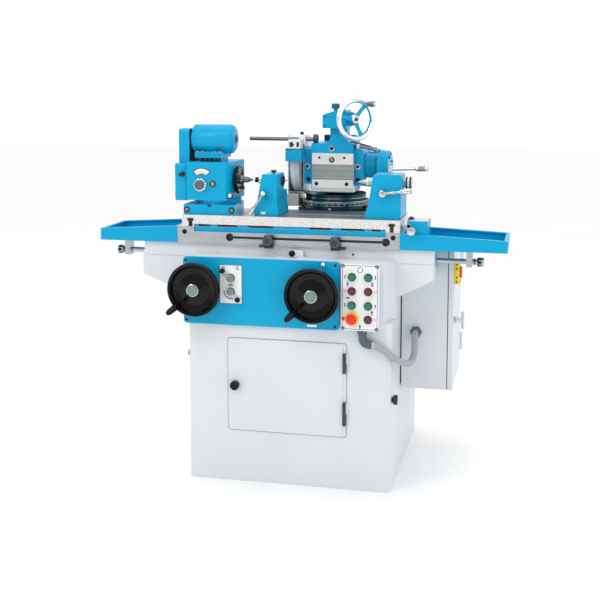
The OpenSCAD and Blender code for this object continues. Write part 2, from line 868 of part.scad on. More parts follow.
module wheelhead_housing() {
    z = [housing_z, 1276];
    color(sky_blue) difference() {
        union() {
            block([8, 178], [-20, 153], z);
            // Bearing flanges at both ends
            bar_x(150, [-25, 9], 80, spindle_z);
            block([-25, 9], [-8, 60], [1110, 1252]);
            bar_x(150, [177, 215], 80, spindle_z);
            block([177, 215], [-8, 60], [1110, 1252]);
            bar_x(96, [214, 266], 80, spindle_z);
            // Pedestal and gear head of the elevation drive
            across([-18, 50]) polygon([
                [74, 1275], [158, 1275], [152, 1296], [152, 1340], [84, 1340], [84, 1296]
            ]);
            across([-55, 60]) polygon([[60, 1337], [155, 1337], [155, 1408], [116, 1408], [60, 1390]]);
            translate([lift_wheel[0], lift_wheel[1], lift_wheel[2]]) rotate([90, 0, lift_turn])
                translate([0, 0, -100]) cylinder(d = 56, h = 62);
        }
        // Guide of the column
        block([44.7, 135.3], [139.7, 154], [z[0] - 1, z[1] + 1]);
        bar_x(spindle_d + 2 * run, [-30, 267], 80, spindle_z);
        translate([lift_wheel[0], lift_wheel[1], lift_wheel[2]]) rotate([90, 0, lift_turn])
            translate([0, 0, -90]) cylinder(d = 18 + 2 * run, h = 60);
        // Clamp screw
        bar_z(12 + 2 * run, clamp[0], clamp[1], [1180, 1253]);
    }
    color(black) {
        bar_z(16, 104, -10, [1400, 1414]);
        bar_z(31, 104, -10, [1413, 1434]);
    }
}

module slotted_plate() {
    color(bright) difference() {
        block([17, 182], [-50, -20], [1100, 1237]);
        // Horizontal T-slots
        for (z = [1140, 1160, 1180])
            block([16, 183], [-51, -40], [z, z + 8]);
        for (x = [46, 147])
            bar_y(10, x, [-51, -19], 1220);
    }
    color(steel) block([14, 185], [-40, -20], [1084, 1100]);
}

module belt_housing() {
    x = [266, 286];
    cap_x = 311;
    r = 64;
    skin = 4;
    run_l = norm([motor_at[0] - 80, motor_at[1] - spindle_z]);
    run_tilt = atan2(motor_at[1] - spindle_z, motor_at[0] - 80);
    color(sky_blue) difference() {
        union() {
            bar_x(2 * r, x, 80, spindle_z);
            bar_x(2 * r, x, motor_at[0], motor_at[1]);
            translate([x[0], 80, spindle_z]) rotate([run_tilt, 0, 0])
                translate([0, 0, 2 - r]) cube([x[1] - x[0], run_l, 2 * r - 4]);
            bar_x(2 * r - 6, [x[1] - 1, cap_x], 80, spindle_z);
        }
        bar_x(2 * (r - skin), [x[0] + skin, x[1] - skin], 80, spindle_z);
        bar_x(2 * (r - skin), [x[0] + skin, x[1] - skin], motor_at[0], motor_at[1]);
        translate([x[0] + skin, 80, spindle_z]) rotate([run_tilt, 0, 0])
            translate([0, 0, skin + 2 - r]) cube([x[1] - x[0] - 2 * skin, run_l, 2 * (r - skin) - 4]);
        bar_x(48, [x[0] - 1, x[0] + skin + 1], 80, spindle_z);
        bar_x(30, [x[0] - 1, x[0] + skin + 1], motor_at[0], motor_at[1]);
    }
}

module wheel_motor() {
    color(sky_blue) translate([67, motor_at[0], motor_at[1]]) rotate([0, 90, 0])
        rotate_extrude() polygon([[0, 0], [40, 2], [66, 14], [70, 24], [70, 190], [66, 199], [0, 199]]);
    color(steel) {
        bar_x(24, [264, 281], motor_at[0], motor_at[1]);
        bar_x(76, [271, 280], motor_at[0], motor_at[1]);
    }
}

module wheel_guard() {
    x = [-104, -27];
    outer = 240;
    tray_x = [x[0] + 4, x[1] - 20];
    tray_y = [-12, 112];
    color(bright) {
        difference() {
            union() {
                bar_x(outer, x, 80, spindle_z);
                block([-30, -25], [16, 144], [spindle_z - 24, spindle_z + 24]);
            }
            bar_x(outer - 12, [x[0] + 5, x[1] - 5], 80, spindle_z);
            // Mouth, open to the front
            block([x[0] - 1, x[1] - 5], [-60, 44], [1000, 1285]);
            block([x[0] - 1, -24], [-60, 12], [1000, 1285]);
            bar_x(70, [x[0] - 1, x[1] + 10], 80, spindle_z);
            // Room for the turntable
            bar_z(248, swivel[0], swivel[1], [1050, ring_z + 2]);
        }
        // Spark tray under the wheel
        difference() {
            block(tray_x, tray_y, [1020, 1068]);
            block([tray_x[0] + 3, tray_x[1] - 3], [tray_y[0] + 3, tray_y[1] - 3], [1023, 1069]);
            bar_x(outer - 12, [x[0], x[1]], 80, spindle_z);
        }
    }
}

// Rod with its clamp on the head, and the wheel dresser that slides along it
module guard_rod() {
    rod_height = 1290;
    color(bright) {
        bar_x(16, [-247, 24], 0, rod_height);
        // Collar, flat where it sits on the housing
        difference() {
            bar_x(36, [14, 30], 0, 1292);
            block([13, 31], [-20, 20], [1270, 1276]);
        }
        // Slider, its stem and the dresser block
        block([-46, -18], [-14, 5], [1270, 1308]);
        bar_z(12, -35, 0, [rod_height, 1319]);
        block([-79, -27], [-62, -18], [1253, 1290]);
        block([-46, -27], [-19, -13], [1272, 1290]);
    }
    color(sky_blue) block([-87, -23], [-70, -30], [1205, 1254]);
}

module wheel_spindle() {
    color(steel) {
        bar_x(spindle_d, [-92, 281], 80, spindle_z);
        bar_x(64, [-98, -80], 80, spindle_z);
        bar_x(56, [-36, -26], 80, spindle_z);
        bar_x(76, [271, 280], 80, spindle_z);
    }
}

module grinding_wheel() {
    color("#d8d4cc") difference() {
        bar_x(wheel_dia, [-38 - wheel_t, -38], 80, spindle_z);
        bar_x(spindle_d + 2 * run, [-39 - wheel_t, -30], 80, spindle_z);
    }
}

module elevation_handwheel() {
    r = lift_wheel_dia / 2;
    rim = 11;
    spokes = [52, 172, 292];
    color(bright) translate(lift_wheel) rotate([90, 0, lift_turn]) {
        rotate_extrude() translate([r - rim, 0]) circle(d = 2 * rim - 4, $fn = 32);
        for (a = spokes)
            rotate([0, 0, a]) translate([12, -8, -10]) cube([r - rim - 12, 16, 9]);
        translate([0, 0, -37.5]) cylinder(d = 34, h = 38);
        translate([0, 0, -88]) cylinder(d = 18, h = 60);
        rotate([0, 0, spokes[0]]) translate([r - rim, 0, 0]) cylinder(d = 10, h = 24);
        rotate([0, 0, spokes[0]]) translate([r - rim, 0, 14])
            rotate_extrude() polygon([[0, 0], [9, 0], [12, 18], [11, 44], [7, 54], [0, 56]]);
    }
}

module head_clamp_lever() {
    color(bright) {
        bar_z(12, clamp[0], clamp[1], [1190, 1254]);
        bar_z(22, clamp[0], clamp[1], [1252.3, 1272]);
        translate([clamp[0], clamp[1], 1265]) rotate([0, 8, -20]) {
            bar_x(9, [0, 84], 0, 0);
            translate([86, 0, 0]) sphere(d = 18);
        }
    }
}

// ---- Doors ----

module base_door() {
    color(casting_grey) difference() {
        across([base_front - 3, base_front]) rounded_rect(
            [door_x, door_x + door_w], [door_z, door_z + door_h], 12);
        bar_y(14 + 2 * run, knob_x, [base_front - 4, base_front + 1], knob_z);
    }
    // Stiffening frame inside the opening
    color(casting_grey) difference() {
        block(
            [door_x + 44, door_x + door_w - 40], [base_front - 1, base_front + 12],
            [door_z + 30, door_z + door_h - 30]
        );
        block(
            [door_x + 50, door_x + door_w - 46], [base_front, base_front + 13],
            [door_z + 36, door_z + door_h - 36]
        );
    }
    color(casting_grey) door_hinges("door");
}

module door_knob() {
    color(black) {
        bar_y(14, knob_x, [base_front - 6, base_front + 2], knob_z);
        bar_y(34, knob_x, [base_front - 22, base_front - 3.3], knob_z);
    }
}

base_casting();
front_panel();
valve_plate();
control_box();
conduit_fittings();
flexible_conduit();
electrical_cabinet();
hydraulic_cylinder();
hydraulic_unit();
lower_table();
left_tray();
right_tray();
piston_rods();
upper_table();
left_dog();
right_dog();
reversing_lever();
table_handwheel();
cross_handwheel();
valve_lever_upper();
valve_lever_lower();
workhead_base();
workhead_body();
pulley_cover();
work_motor();
work_spindle();
speed_knob();
left_tailstock();
left_quill();
left_lever();
right_tailstock();
right_quill();
right_lever_top();
right_lever_front();
swivel_knob();
cross_slide();
wheelhead_swivel();
wheelhead_housing();
slotted_plate();
belt_housing();
wheel_motor();
wheel_guard();
guard_rod();
wheel_spindle();
grinding_wheel();
elevation_handwheel();
head_clamp_lever();
base_door();
door_knob();
cabinet_door();
main_switch();
latch_handle();
button_1();
button_2();
button_3();
button_4();
button_5();
button_6();
emergency_stop();
button_8();
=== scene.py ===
"""Universal tool and cylindrical grinder: materials, detail pieces, light and camera around the CAD frame."""
import json
import math

import bmesh
import bpy
from mathutils import Matrix, Vector


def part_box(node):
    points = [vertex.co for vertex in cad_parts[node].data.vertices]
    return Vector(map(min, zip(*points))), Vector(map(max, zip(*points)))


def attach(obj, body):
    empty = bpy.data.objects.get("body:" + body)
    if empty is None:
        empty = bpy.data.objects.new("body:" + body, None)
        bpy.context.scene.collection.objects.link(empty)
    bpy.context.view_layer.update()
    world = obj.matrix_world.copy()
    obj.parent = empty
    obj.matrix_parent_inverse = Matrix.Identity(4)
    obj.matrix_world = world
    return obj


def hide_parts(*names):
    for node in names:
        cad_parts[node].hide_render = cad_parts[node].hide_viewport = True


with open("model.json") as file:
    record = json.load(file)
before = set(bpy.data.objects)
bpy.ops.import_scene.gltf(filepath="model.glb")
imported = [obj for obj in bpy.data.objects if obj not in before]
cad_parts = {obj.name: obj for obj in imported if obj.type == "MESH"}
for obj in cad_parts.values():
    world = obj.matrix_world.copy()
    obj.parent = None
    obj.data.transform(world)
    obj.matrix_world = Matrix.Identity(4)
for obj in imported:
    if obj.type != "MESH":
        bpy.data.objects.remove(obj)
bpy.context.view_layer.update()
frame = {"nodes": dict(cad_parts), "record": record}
NODES = frame["nodes"]

FRONT = Vector((0, -1, 0))
UP = Vector((0, 0, 1))
RIGHT = Vector((1, 0, 0))
LEFT = Vector((-1, 0, 0))
BACK = Vector((0, 1, 0))

# ---------------------------------------------------------------- materials


def principled(name, color, rough, metal=0.0, coat=0.0):
    """A material with one shader, and its socket values that are the same all over."""
    m = bpy.data.materials.new(name)
    m.use_nodes = True
    nt = m.node_tree
    shader = nt.nodes["Principled BSDF"]
    shader.inputs["Base Color"].default_value = (*color, 1)
    shader.inputs["Roughness"].default_value = rough
    shader.inputs["Metallic"].default_value = metal
    shader.inputs["Coat Weight"].default_value = coat
    shader.inputs["Coat Roughness"].default_value = 0.08
    return m, nt, shader


def node(nt, kind, **values):
    """Adds a node and sets its input sockets by name."""
    n = nt.nodes.new(kind)
    for key, value in values.items():
        n.inputs[key.replace("_", " ")].default_value = value
    return n


def coords(nt, stretch=(1, 1, 1)):
    """Object coordinates, stretched along each axis."""
    tex = nt.nodes.new("ShaderNodeTexCoord")
    mapping = nt.nodes.new("ShaderNodeMapping")
    mapping.inputs["Scale"].default_value = stretch
    nt.links.new(tex.outputs["Object"], mapping.inputs["Vector"])
    return mapping.outputs["Vector"]


def ramp(nt, fac, stops):
    """A colour ramp from (position, colour) stops."""
    r = nt.nodes.new("ShaderNodeValToRGB")
    while len(r.color_ramp.elements) < len(stops):
        r.color_ramp.elements.new(0.5)
    for element, (position, color) in zip(r.color_ramp.elements, stops):
        element.position = position
        element.color = (*color, 1)
    nt.links.new(fac, r.inputs["Fac"])
    return r.outputs["Color"]


def grey(value):
    """A neutral colour."""
    return (value, value, value)


def shade(color, factor):
    """A colour made darker or lighter."""
    return tuple(min(1.0, c * factor) for c in color)


def noise(nt, vector, scale, detail=3.0, rough=0.5):
    """A noise texture's factor at a place."""
    n = node(nt, "ShaderNodeTexNoise", Scale=scale, Detail=detail, Roughness=rough)
    nt.links.new(vector, n.inputs["Vector"])
    return n.outputs["Fac"]


def bump(nt, shader, height, strength, distance):
    """Relief from a height."""
    b = node(nt, "ShaderNodeBump", Strength=strength, Distance=distance)
    nt.links.new(height, b.inputs["Height"])
    nt.links.new(b.outputs["Normal"], shader.inputs["Normal"])


def paint(name, color, rough=0.34, peel=0.12, spread=0.05):
    """Machine enamel: slight tone drift, orange peel, and dust that dulls the gloss here and there."""
    m, nt, shader = principled(name, color, rough, coat=0.1)
    shader.inputs["Specular IOR Level"].default_value = 0.16
    where = coords(nt)
    drift = noise(nt, where, 3.5, 4.0)
    tone = ramp(nt, drift, [(0.3, shade(color, 1 - spread)), (0.7, shade(color, 1 + spread))])
    nt.links.new(tone, shader.inputs["Base Color"])
    dust = noise(nt, where, 14, 6.0, 0.6)
    gloss = ramp(nt, dust, [(0.35, grey(rough - 0.04)), (0.75, grey(rough + 0.1))])
    nt.links.new(gloss, shader.inputs["Roughness"])
    bump(nt, shader, noise(nt, where, 420, 2.0), peel, 0.0004)
    return m


def metal(name, color, rough, stretch=(1, 1, 1), scale=160, streak=0.25, depth=0.08):
    """Machined metal: cutting marks drawn out along one axis, in tone, gloss and relief."""
    m, nt, shader = principled(name, color, rough, metal=1.0)
    where = coords(nt, stretch)
    marks = noise(nt, where, scale, 4.0, 0.65)
    tone = ramp(nt, marks, [(0.3, shade(color, 1 - streak)), (0.7, shade(color, 1 + streak * 0.4))])
    nt.links.new(tone, shader.inputs["Base Color"])
    gloss = ramp(nt, marks, [(0.3, grey(rough + 0.1)), (0.7, grey(max(0.04, rough - 0.08)))])
    nt.links.new(gloss, shader.inputs["Roughness"])
    bump(nt, shader, marks, depth, 0.0003)
    return m


def plastic(name, color, rough, coat=0.0):
    """Moulded plastic: fine moulding texture and faint handling marks."""
    m, nt, shader = principled(name, color, rough, coat=coat)
    where = coords(nt)
    wear = noise(nt, where, 40, 5.0, 0.6)
    gloss = ramp(nt, wear, [(0.3, grey(max(0.03, rough - 0.04))), (0.8, grey(rough + 0.12))])
    nt.links.new(gloss, shader.inputs["Roughness"])
    tone = ramp(nt, wear, [(0.2, shade(color, 0.92)), (0.8, shade(color, 1.08))])
    nt.links.new(tone, shader.inputs["Base Color"])
    bump(nt, shader, noise(nt, where, 900, 2.0), 0.05, 0.0002)
    return m


def scraped(name, color):
    """Hand-scraped way: crescents of frosting in rows on bright metal."""
    m, nt, shader = principled(name, color, 0.32, metal=0.55)
    where = coords(nt, (1, 1, 1.3))
    cells = node(nt, "ShaderNodeTexVoronoi", Scale=105, Randomness=0.55)
    cells.feature = "F1"
    nt.links.new(where, cells.inputs["Vector"])
    dark = shade(color, 0.62)
    spots = ramp(nt, cells.outputs["Distance"], [(0.16, dark), (0.3, color), (1.0, shade(color, 1.04))])
    nt.links.new(spots, shader.inputs["Base Color"])
    gloss = ramp(nt, cells.outputs["Distance"], [(0.1, grey(0.5)), (0.4, grey(0.3))])
    nt.links.new(gloss, shader.inputs["Roughness"])
    bump(nt, shader, cells.outputs["Distance"], 0.2, 0.0004)
    return m


def abrasive(name, color):
    """Vitrified grinding wheel: grit and pores."""
    m, nt, shader = principled(name, color, 0.85)
    where = coords(nt)
    grit = noise(nt, where, 900, 4.0, 0.8)
    tone = ramp(nt, grit, [(0.3, shade(color, 0.7)), (0.55, color), (0.8, shade(color, 1.15))])
    nt.links.new(tone, shader.inputs["Base Color"])
    bump(nt, shader, grit, 0.6, 0.0006)
    return m


BLUE = (0.001, 0.37, 0.64)
GREY = (0.70, 0.735, 0.765)
WHITE = (0.86, 0.87, 0.88)

paint_blue = paint("paint_blue", BLUE, 0.3)
paint_grey = paint("paint_grey", GREY, 0.42, spread=0.025)
paint_white = paint("paint_white", WHITE, 0.4, spread=0.02)
plate_white = plastic("plate_white", (0.84, 0.85, 0.86), 0.3)
machined_x = metal("machined_steel", (0.56, 0.57, 0.58), 0.34, (0.06, 1, 1.6), 190)
bright_turned = metal("bright_steel", (0.60, 0.61, 0.62), 0.2, (1, 1, 1), 240, 0.1, 0.03)
chrome = metal("chrome", (0.72, 0.73, 0.74), 0.1, (1, 1, 1), 90, 0.05, 0.01)
dark_iron = metal("dark_iron", (0.075, 0.095, 0.105), 0.42, (1, 1, 1), 210, 0.3, 0.1)
mid_iron = metal("grey_iron", (0.28, 0.31, 0.32), 0.42, (1, 1, 1), 210, 0.25, 0.1)
brass = metal("brass", (0.62, 0.42, 0.22), 0.3)
aluminium = metal("aluminium_plate", (0.80, 0.81, 0.82), 0.36, (0.2, 1, 1), 260, 0.12)
scraped_steel = scraped("scraped_steel", (0.83, 0.82, 0.80))
black_gloss = plastic("black_plastic", (0.003, 0.003, 0.0035), 0.13)
black_gloss.node_tree.nodes["Principled BSDF"].inputs["Specular IOR Level"].default_value = 0.22
rod_steel = metal("rod_steel", (0.20, 0.21, 0.22), 0.26, (0.1, 1, 1), 160, 0.2)
table_top_steel = metal("table_top_steel", (0.42, 0.47, 0.50), 0.36, (0.03, 1.6, 1), 60, 0.35)
black_satin = plastic("black_satin", (0.012, 0.012, 0.014), 0.38)
hose_grey = plastic("hose_grey", (0.36, 0.39, 0.42), 0.45)
fitting_grey = plastic("fitting_grey", (0.07, 0.11, 0.13), 0.4)
cap_green = plastic("hub_cap", (0.17, 0.27, 0.24), 0.4)
knob_grey = plastic("knob_grey", (0.10, 0.125, 0.13), 0.36)
green = plastic("button_green", (0.0, 0.17, 0.10), 0.16, 0.2)
maroon = plastic("button_maroon", (0.11, 0.012, 0.02), 0.18, 0.2)
red = plastic("button_red", (0.80, 0.012, 0.02), 0.22, 0.3)
yellow = plastic("switch_yellow", (0.95, 0.70, 0.0), 0.35)
rubber = plastic("rubber_black", (0.01, 0.01, 0.011), 0.65)
wheel_grit = abrasive("abrasive", (0.74, 0.76, 0.78))

SLOT_MATERIALS = {
    "paint_grey": paint_grey,
    "paint_blue": paint_blue,
    "machined_steel": machined_x,
    "scraped_steel": scraped_steel,
    "bright_steel": bright_turned,
    "dark_iron": dark_iron,
    "black_plastic": black_gloss,
    "aluminium_plate": aluminium,
    "hose_grey": hose_grey,
    "button_green": green,
    "button_maroon": maroon,
    "button_red": red,
    "abrasive": wheel_grit,
}

# ---------------------------------------------------------------- mesh helpers

def finish_piece(name, bm, material, body, smooth=40, bevel=0.0):
    """Turns a bmesh into a piece that rides on a body, smooth except at its sharp edges."""
    bmesh.ops.remove_doubles(bm, verts=bm.verts, dist=1e-6)
    bmesh.ops.recalc_face_normals(bm, faces=bm.faces)
    limit = math.radians(smooth)
    for f in bm.faces:
        f.smooth = True
    for e in bm.edges:
        if len(e.link_faces) == 2 and e.calc_face_angle(0) > limit:
            e.smooth = False
    mesh = bpy.data.meshes.new(name)
    bm.to_mesh(mesh)
    bm.free()
    o = bpy.data.objects.new(name, mesh)
    bpy.context.scene.collection.objects.link(o)
    mesh.materials.append(material)
    if bevel:
        soften(o, bevel)
    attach(o, body)
    return o


def soften(o, width, segments=2, angle=35):
    """Rounds the sharp edges of a piece."""
    weld = o.modifiers.new("weld", "WELD")
    weld.merge_threshold = 2e-6
    b = o.modifiers.new("edges", "BEVEL")
    b.width = width
    b.segments = segments
    b.limit_method = "ANGLE"
    b.angle_limit = math.radians(angle)
    b.harden_normals = False
    b.use_clamp_overlap = True


def basis(axis):
    """A rotation that takes +Z to the given axis, keeping +X level where it can."""
    z = Vector(axis).normalized()
    x = Vector((0, 0, 1)).cross(z)
    if x.length < 1e-4:
        x = Vector((1, 0, 0))
    x.normalize()
    y = z.cross(x)
    return Matrix((x, y, z)).transposed().to_4x4()


def place(at, axis):
    """A frame at a point, with +Z along the axis."""
    return Matrix.Translation(Vector(at)) @ basis(axis)


def add_lathe(bm, profile, at, axis, sides=48):
    """A turned shape: profile is (radius, height) from the bottom up, around axis at the point at."""
    move = place(at, axis)
    rings = []
    for r, h in profile:
        if r < 1e-7:
            rings.append([bm.verts.new(move @ Vector((0, 0, h)))])
            continue
        rings.append([
            bm.verts.new(move @ Vector((r * math.cos(a), r * math.sin(a), h)))
            for a in (2 * math.pi * k / sides for k in range(sides))
        ])
    for low, high in zip(rings, rings[1:]):
        for k in range(max(len(low), len(high))):
            corners = [low[k % len(low)], low[(k + 1) % len(low)], high[(k + 1) % len(high)],
                       high[k % len(high)]]
            face = list(dict.fromkeys(corners))
            if len(face) > 2:
                bm.faces.new(face)
    for ring in (rings[0], rings[-1]):
        if len(ring) > 2:
            bm.faces.new(ring)


def lathe(name, profile, at, axis, material, body, sides=48, bevel=0.0):
    """A turned piece."""
    bm = bmesh.new()
    add_lathe(bm, profile, at, axis, sides)
    return finish_piece(name, bm, material, body, bevel=bevel)


def add_prism(bm, outline, depth, move):
    """A flat outline in local X and Y, given thickness along local Z."""
    low = [bm.verts.new(move @ Vector((x, y, 0))) for x, y in outline]
    high = [bm.verts.new(move @ Vector((x, y, depth))) for x, y in outline]
    bm.faces.new(low[::-1])
    bm.faces.new(high)
    count = len(outline)
    for k in range(count):
        bm.faces.new((low[k], low[(k + 1) % count], high[(k + 1) % count], high[k]))


def add_box(bm, low, high):
    """A box between two corners."""
    lo, hi = Vector(low), Vector(high)
    outline = [(lo.x, lo.y), (hi.x, lo.y), (hi.x, hi.y), (lo.x, hi.y)]
    add_prism(bm, outline, hi.z - lo.z, Matrix.Translation((0, 0, lo.z)))


def block(name, low, high, material, body, bevel=0.001):
    """A block between two corners, with rounded edges."""
    bm = bmesh.new()
    add_box(bm, low, high)
    return finish_piece(name, bm, material, body, bevel=bevel)


def round_outline(w, h, r, steps=6):
    """A rectangle round the origin with rounded corners."""
    points = []
    for cx, cy, start in ((w / 2 - r, h / 2 - r, 0), (r - w / 2, h / 2 - r, 90),
                          (r - w / 2, r - h / 2, 180), (w / 2 - r, r - h / 2, 270)):
        for k in range(steps + 1):
            a = math.radians(start + 90 * k / steps)
            points.append((cx + r * math.cos(a), cy + r * math.sin(a)))
    return points


# Local X to the right and local Y up on a face that looks at the operator
FACING = Matrix(((1, 0, 0, 0), (0, 0, -1, 0), (0, 1, 0, 0), (0, 0, 0, 1)))


def on_front(x, y, z):
    """A frame at a point on a face toward the operator."""
    return Matrix.Translation((x, y, z)) @ FACING


def plate(name, x, y, z, w, h, t, r, material, body, bevel=0.0):
    """A rounded plate on a face toward the operator, standing t proud of the plane y."""
    bm = bmesh.new()
    add_prism(bm, round_outline(w, h, r), t, on_front(x, y, z))
    return finish_piece(name, bm, material, body, bevel=bevel)


def ring_plate(bm, outer, inner, t, move):
    """A flat frame between two outlines of the same length."""
    count = len(outer)
    rows = [[bm.verts.new(move @ Vector((x, y, h))) for x, y in line]
            for line, h in ((outer, 0), (outer, t), (inner, t), (inner, 0))]
    for a, b in zip(rows, rows[1:] + rows[:1]):
        for k in range(count):
            bm.faces.new((a[k], a[(k + 1) % count], b[(k + 1) % count], b[k]))


def hex_socket_screw(name, at, axis, d, height, body, material=None, washer=0.0):
    """Socket head cap screw, with a washer ring if asked for."""
    bm = bmesh.new()
    r = d / 2
    add_lathe(bm, [
        (r * 0.9, 0), (r, height * 0.12), (r, height * 0.82), (r * 0.86, height), (r * 0.56, height)
    ], at, axis, 28)
    add_lathe(bm, [(r * 0.56, height), (r * 0.52, height * 0.45), (0, height * 0.42)], at, axis, 6)
    o = finish_piece(name, bm, material or dark_iron, body)
    if washer:
        lathe(name + "_washer", [(r * 1.02, 0), (washer / 2, 0), (washer / 2, height * 0.3),
                                 (r * 1.02, height * 0.34)],
              at, axis, bright_turned, body, 28)
    return o


def front_screws(prefix, y, spots, d, height, body, material=None, washer=0.0):
    """The same screw at each (x, z) spot on a face toward the operator."""
    for i, (x, z) in enumerate(spots):
        hex_socket_screw(f"{prefix}_{i}", (x, y, z), FRONT, d, height, body, material, washer)


def knurled_knob(name, at, axis, d, height, body, material, teeth=28, depth=0.04):
    """A knob with straight knurling and a chamfered face."""
    bm = bmesh.new()
    move = place(at, axis)
    rows = [(0.94, 0.0), (1.0, 0.08), (1.0, 0.82), (0.9, 0.96), (0.82, 1.0)]
    rings = []
    for factor, h in rows:
        ring = []
        for k in range(teeth * 4):
            a = 2 * math.pi * k / (teeth * 4)
            cut = depth if k % 4 in (0, 1) and 0.05 < h < 0.9 else 0
            rr = d / 2 * (factor - cut)
            ring.append(bm.verts.new(move @ Vector((rr * math.cos(a), rr * math.sin(a), h * height))))
        rings.append(ring)
    for low, high in zip(rings, rings[1:]):
        for k in range(len(low)):
            bm.faces.new((low[k], low[(k + 1) % len(low)], high[(k + 1) % len(high)], high[k]))
    bm.faces.new(rings[0][::-1])
    bm.faces.new(rings[-1])
    return finish_piece(name, bm, material, body, smooth=25)


def ball(name, at, d, body, material):
    """A round ball."""
    bm = bmesh.new()
    bmesh.ops.create_uvsphere(bm, u_segments=32, v_segments=20, radius=d / 2)
    bmesh.ops.translate(bm, verts=bm.verts, vec=Vector(at))
    return finish_piece(name, bm, material, body)


def tapered_arm(name, start, end, d0, d1, body, material, grip=0.0, grip_d=0.0):
    """A turned lever arm between two points, which swells into a grip at its far end."""
    start, end = Vector(start), Vector(end)
    span = (end - start).length
    bare = span - grip
    profile = [(0, 0), (d0 / 2, 0), (d1 / 2, bare * 0.96)]
    if grip:
        g = grip_d / 2
        profile += [(d1 / 2, bare), (g * 0.8, bare + grip * 0.05), (g, bare + grip * 0.3),
                    (g * 1.05, bare + grip * 0.7),
                    (g * 0.85, bare + grip * 0.93), (g * 0.4, span)]
    profile.append((0, span))
    return lathe(name, profile, start, end - start, material, body, 28)


def scale_ring(name, at, radius, z_low, z_high, body, start, end, count, major=5, material=None):
    """Graduation lines round a vertical axis, on the outside of a ring."""
    bm = bmesh.new()
    for k in range(count + 1):
        a = math.radians(start + (end - start) * k / count)
        long_line = k % major == 0
        height = (z_high - z_low) * (1 if long_line else 0.55)
        move = Matrix.Translation(Vector(at)) @ Matrix.Rotation(a, 4, "Z")
        wide = 0.0006
        add_prism(bm, [(radius - 0.0004, -wide), (radius + 0.0003, -wide), (radius + 0.0003, wide),
                       (radius - 0.0004, wide)],
                  height, move @ Matrix.Translation((0, 0, z_high - height)))
    return finish_piece(name, bm, material or black_satin, body)


def fan_outline(r0, r1, a0, a1, steps=20):
    """An annular sector: outer arc, then inner arc back."""
    outer = [math.radians(a0 + (a1 - a0) * k / steps) for k in range(steps + 1)]
    return ([(r1 * math.cos(a), r1 * math.sin(a)) for a in outer]
            + [(r0 * math.cos(a), r0 * math.sin(a)) for a in reversed(outer)])


# ---------------------------------------------------------------- frame materials

for record_part in frame["record"]["subparts"]:
    o = NODES[record_part["node"]]
    o.data.materials.clear()
    o.data.materials.append(SLOT_MATERIALS[record_part["material_slot"]])

# ---------------------------------------------------------------- more shapes


def ring(name, at, axis, inner, outer, height, material, body, sides=48):
    """A flat ring with chamfered edges."""
    c = min(height, (outer - inner) / 2) * 0.2
    bm = bmesh.new()
    profile = [(inner / 2, 0), (outer / 2, 0), (outer / 2, height - c), (outer / 2 - c, height),
               (inner / 2 + c, height), (inner / 2, height - c), (inner / 2, 0)]
    move = place(at, axis)
    rows = [[bm.verts.new(move @ Vector((r * math.cos(a), r * math.sin(a), h)))
             for a in (2 * math.pi * k / sides for k in range(sides))] for r, h in profile[:-1]]
    for a, b in zip(rows, rows[1:] + rows[:1]):
        for k in range(sides):
            bm.faces.new((a[k], a[(k + 1) % sides], b[(k + 1) % sides], b[k]))
    return finish_piece(name, bm, material, body)


def hex_nut(name, at, axis, width, height, material, body):
    """Hexagon with a turned chamfer on its outer face."""
    bm = bmesh.new()
    r = width / 2 / math.cos(math.pi / 6)
    add_lathe(bm, [(r * 0.98, 0), (r, height * 0.08), (r, height * 0.84), (r * 0.88, height), (0, height)],
              at, axis, 6)
    o = finish_piece(name, bm, material, body, smooth=20)
    soften(o, 0.0006)
    return o


def shape_plate(name, outline, t, move, material, body):
    """A flat outline of thickness t."""
    bm = bmesh.new()
    add_prism(bm, outline, t, move)
    return finish_piece(name, bm, material, body)


def frame_line(name, x, y, z, w, h, line, r, t, material, body):
    """A thin frame on a face toward the operator."""
    bm = bmesh.new()
    ring_plate(bm, round_outline(w, h, r), round_outline(w - 2 * line, h - 2 * line, max(r - line, 0.0004)),
               t,
               on_front(x, y, z))
    return finish_piece(name, bm, material, body)


def arc_band(name, x, y, z, radius, line, a0, a1, t, material, body, steps=24):
    """A thin arc on a face toward the operator."""
    return shape_plate(name, fan_outline(radius - line / 2, radius + line / 2, a0, a1, steps), t,
                       on_front(x, y, z), material, body)


def arrow_outline(length, width):
    """An arrow that points along +X."""
    half, head = width * 0.18, length * 0.45
    return [(-length / 2, -half), (length / 2 - head, -half), (length / 2 - head, -width / 2),
            (length / 2, 0),
            (length / 2 - head, width / 2), (length / 2 - head, half), (-length / 2, half)]


def tube(name, points, radius, material, body, sides=20, ridge=0.0, pitch=0.0):
    """A round tube through points, ridged along its length if asked for."""
    pts = [Vector(p) for p in points]
    bm = bmesh.new()
    rows = []
    normal = None
    along = 0.0
    for i, p in enumerate(pts):
        tangent = (pts[min(i + 1, len(pts) - 1)] - pts[max(i - 1, 0)]).normalized()
        if normal is None:
            normal = tangent.orthogonal().normalized()
        else:
            normal = (normal - tangent * normal.dot(tangent)).normalized()
            along += (p - pts[i - 1]).length
        side = tangent.cross(normal)
        r = radius - (ridge * (0.5 + 0.5 * math.cos(2 * math.pi * along / pitch)) if ridge else 0)
        rows.append([bm.verts.new(p + (normal * math.cos(a) + side * math.sin(a)) * r)
                     for a in (2 * math.pi * k / sides for k in range(sides))])
    for a, b in zip(rows, rows[1:]):
        for k in range(sides):
            bm.faces.new((a[k], a[(k + 1) % sides], b[(k + 1) % sides], b[k]))
    bm.faces.new(rows[0][::-1])
    bm.faces.new(rows[-1])
    return finish_piece(name, bm, material, body, smooth=60)


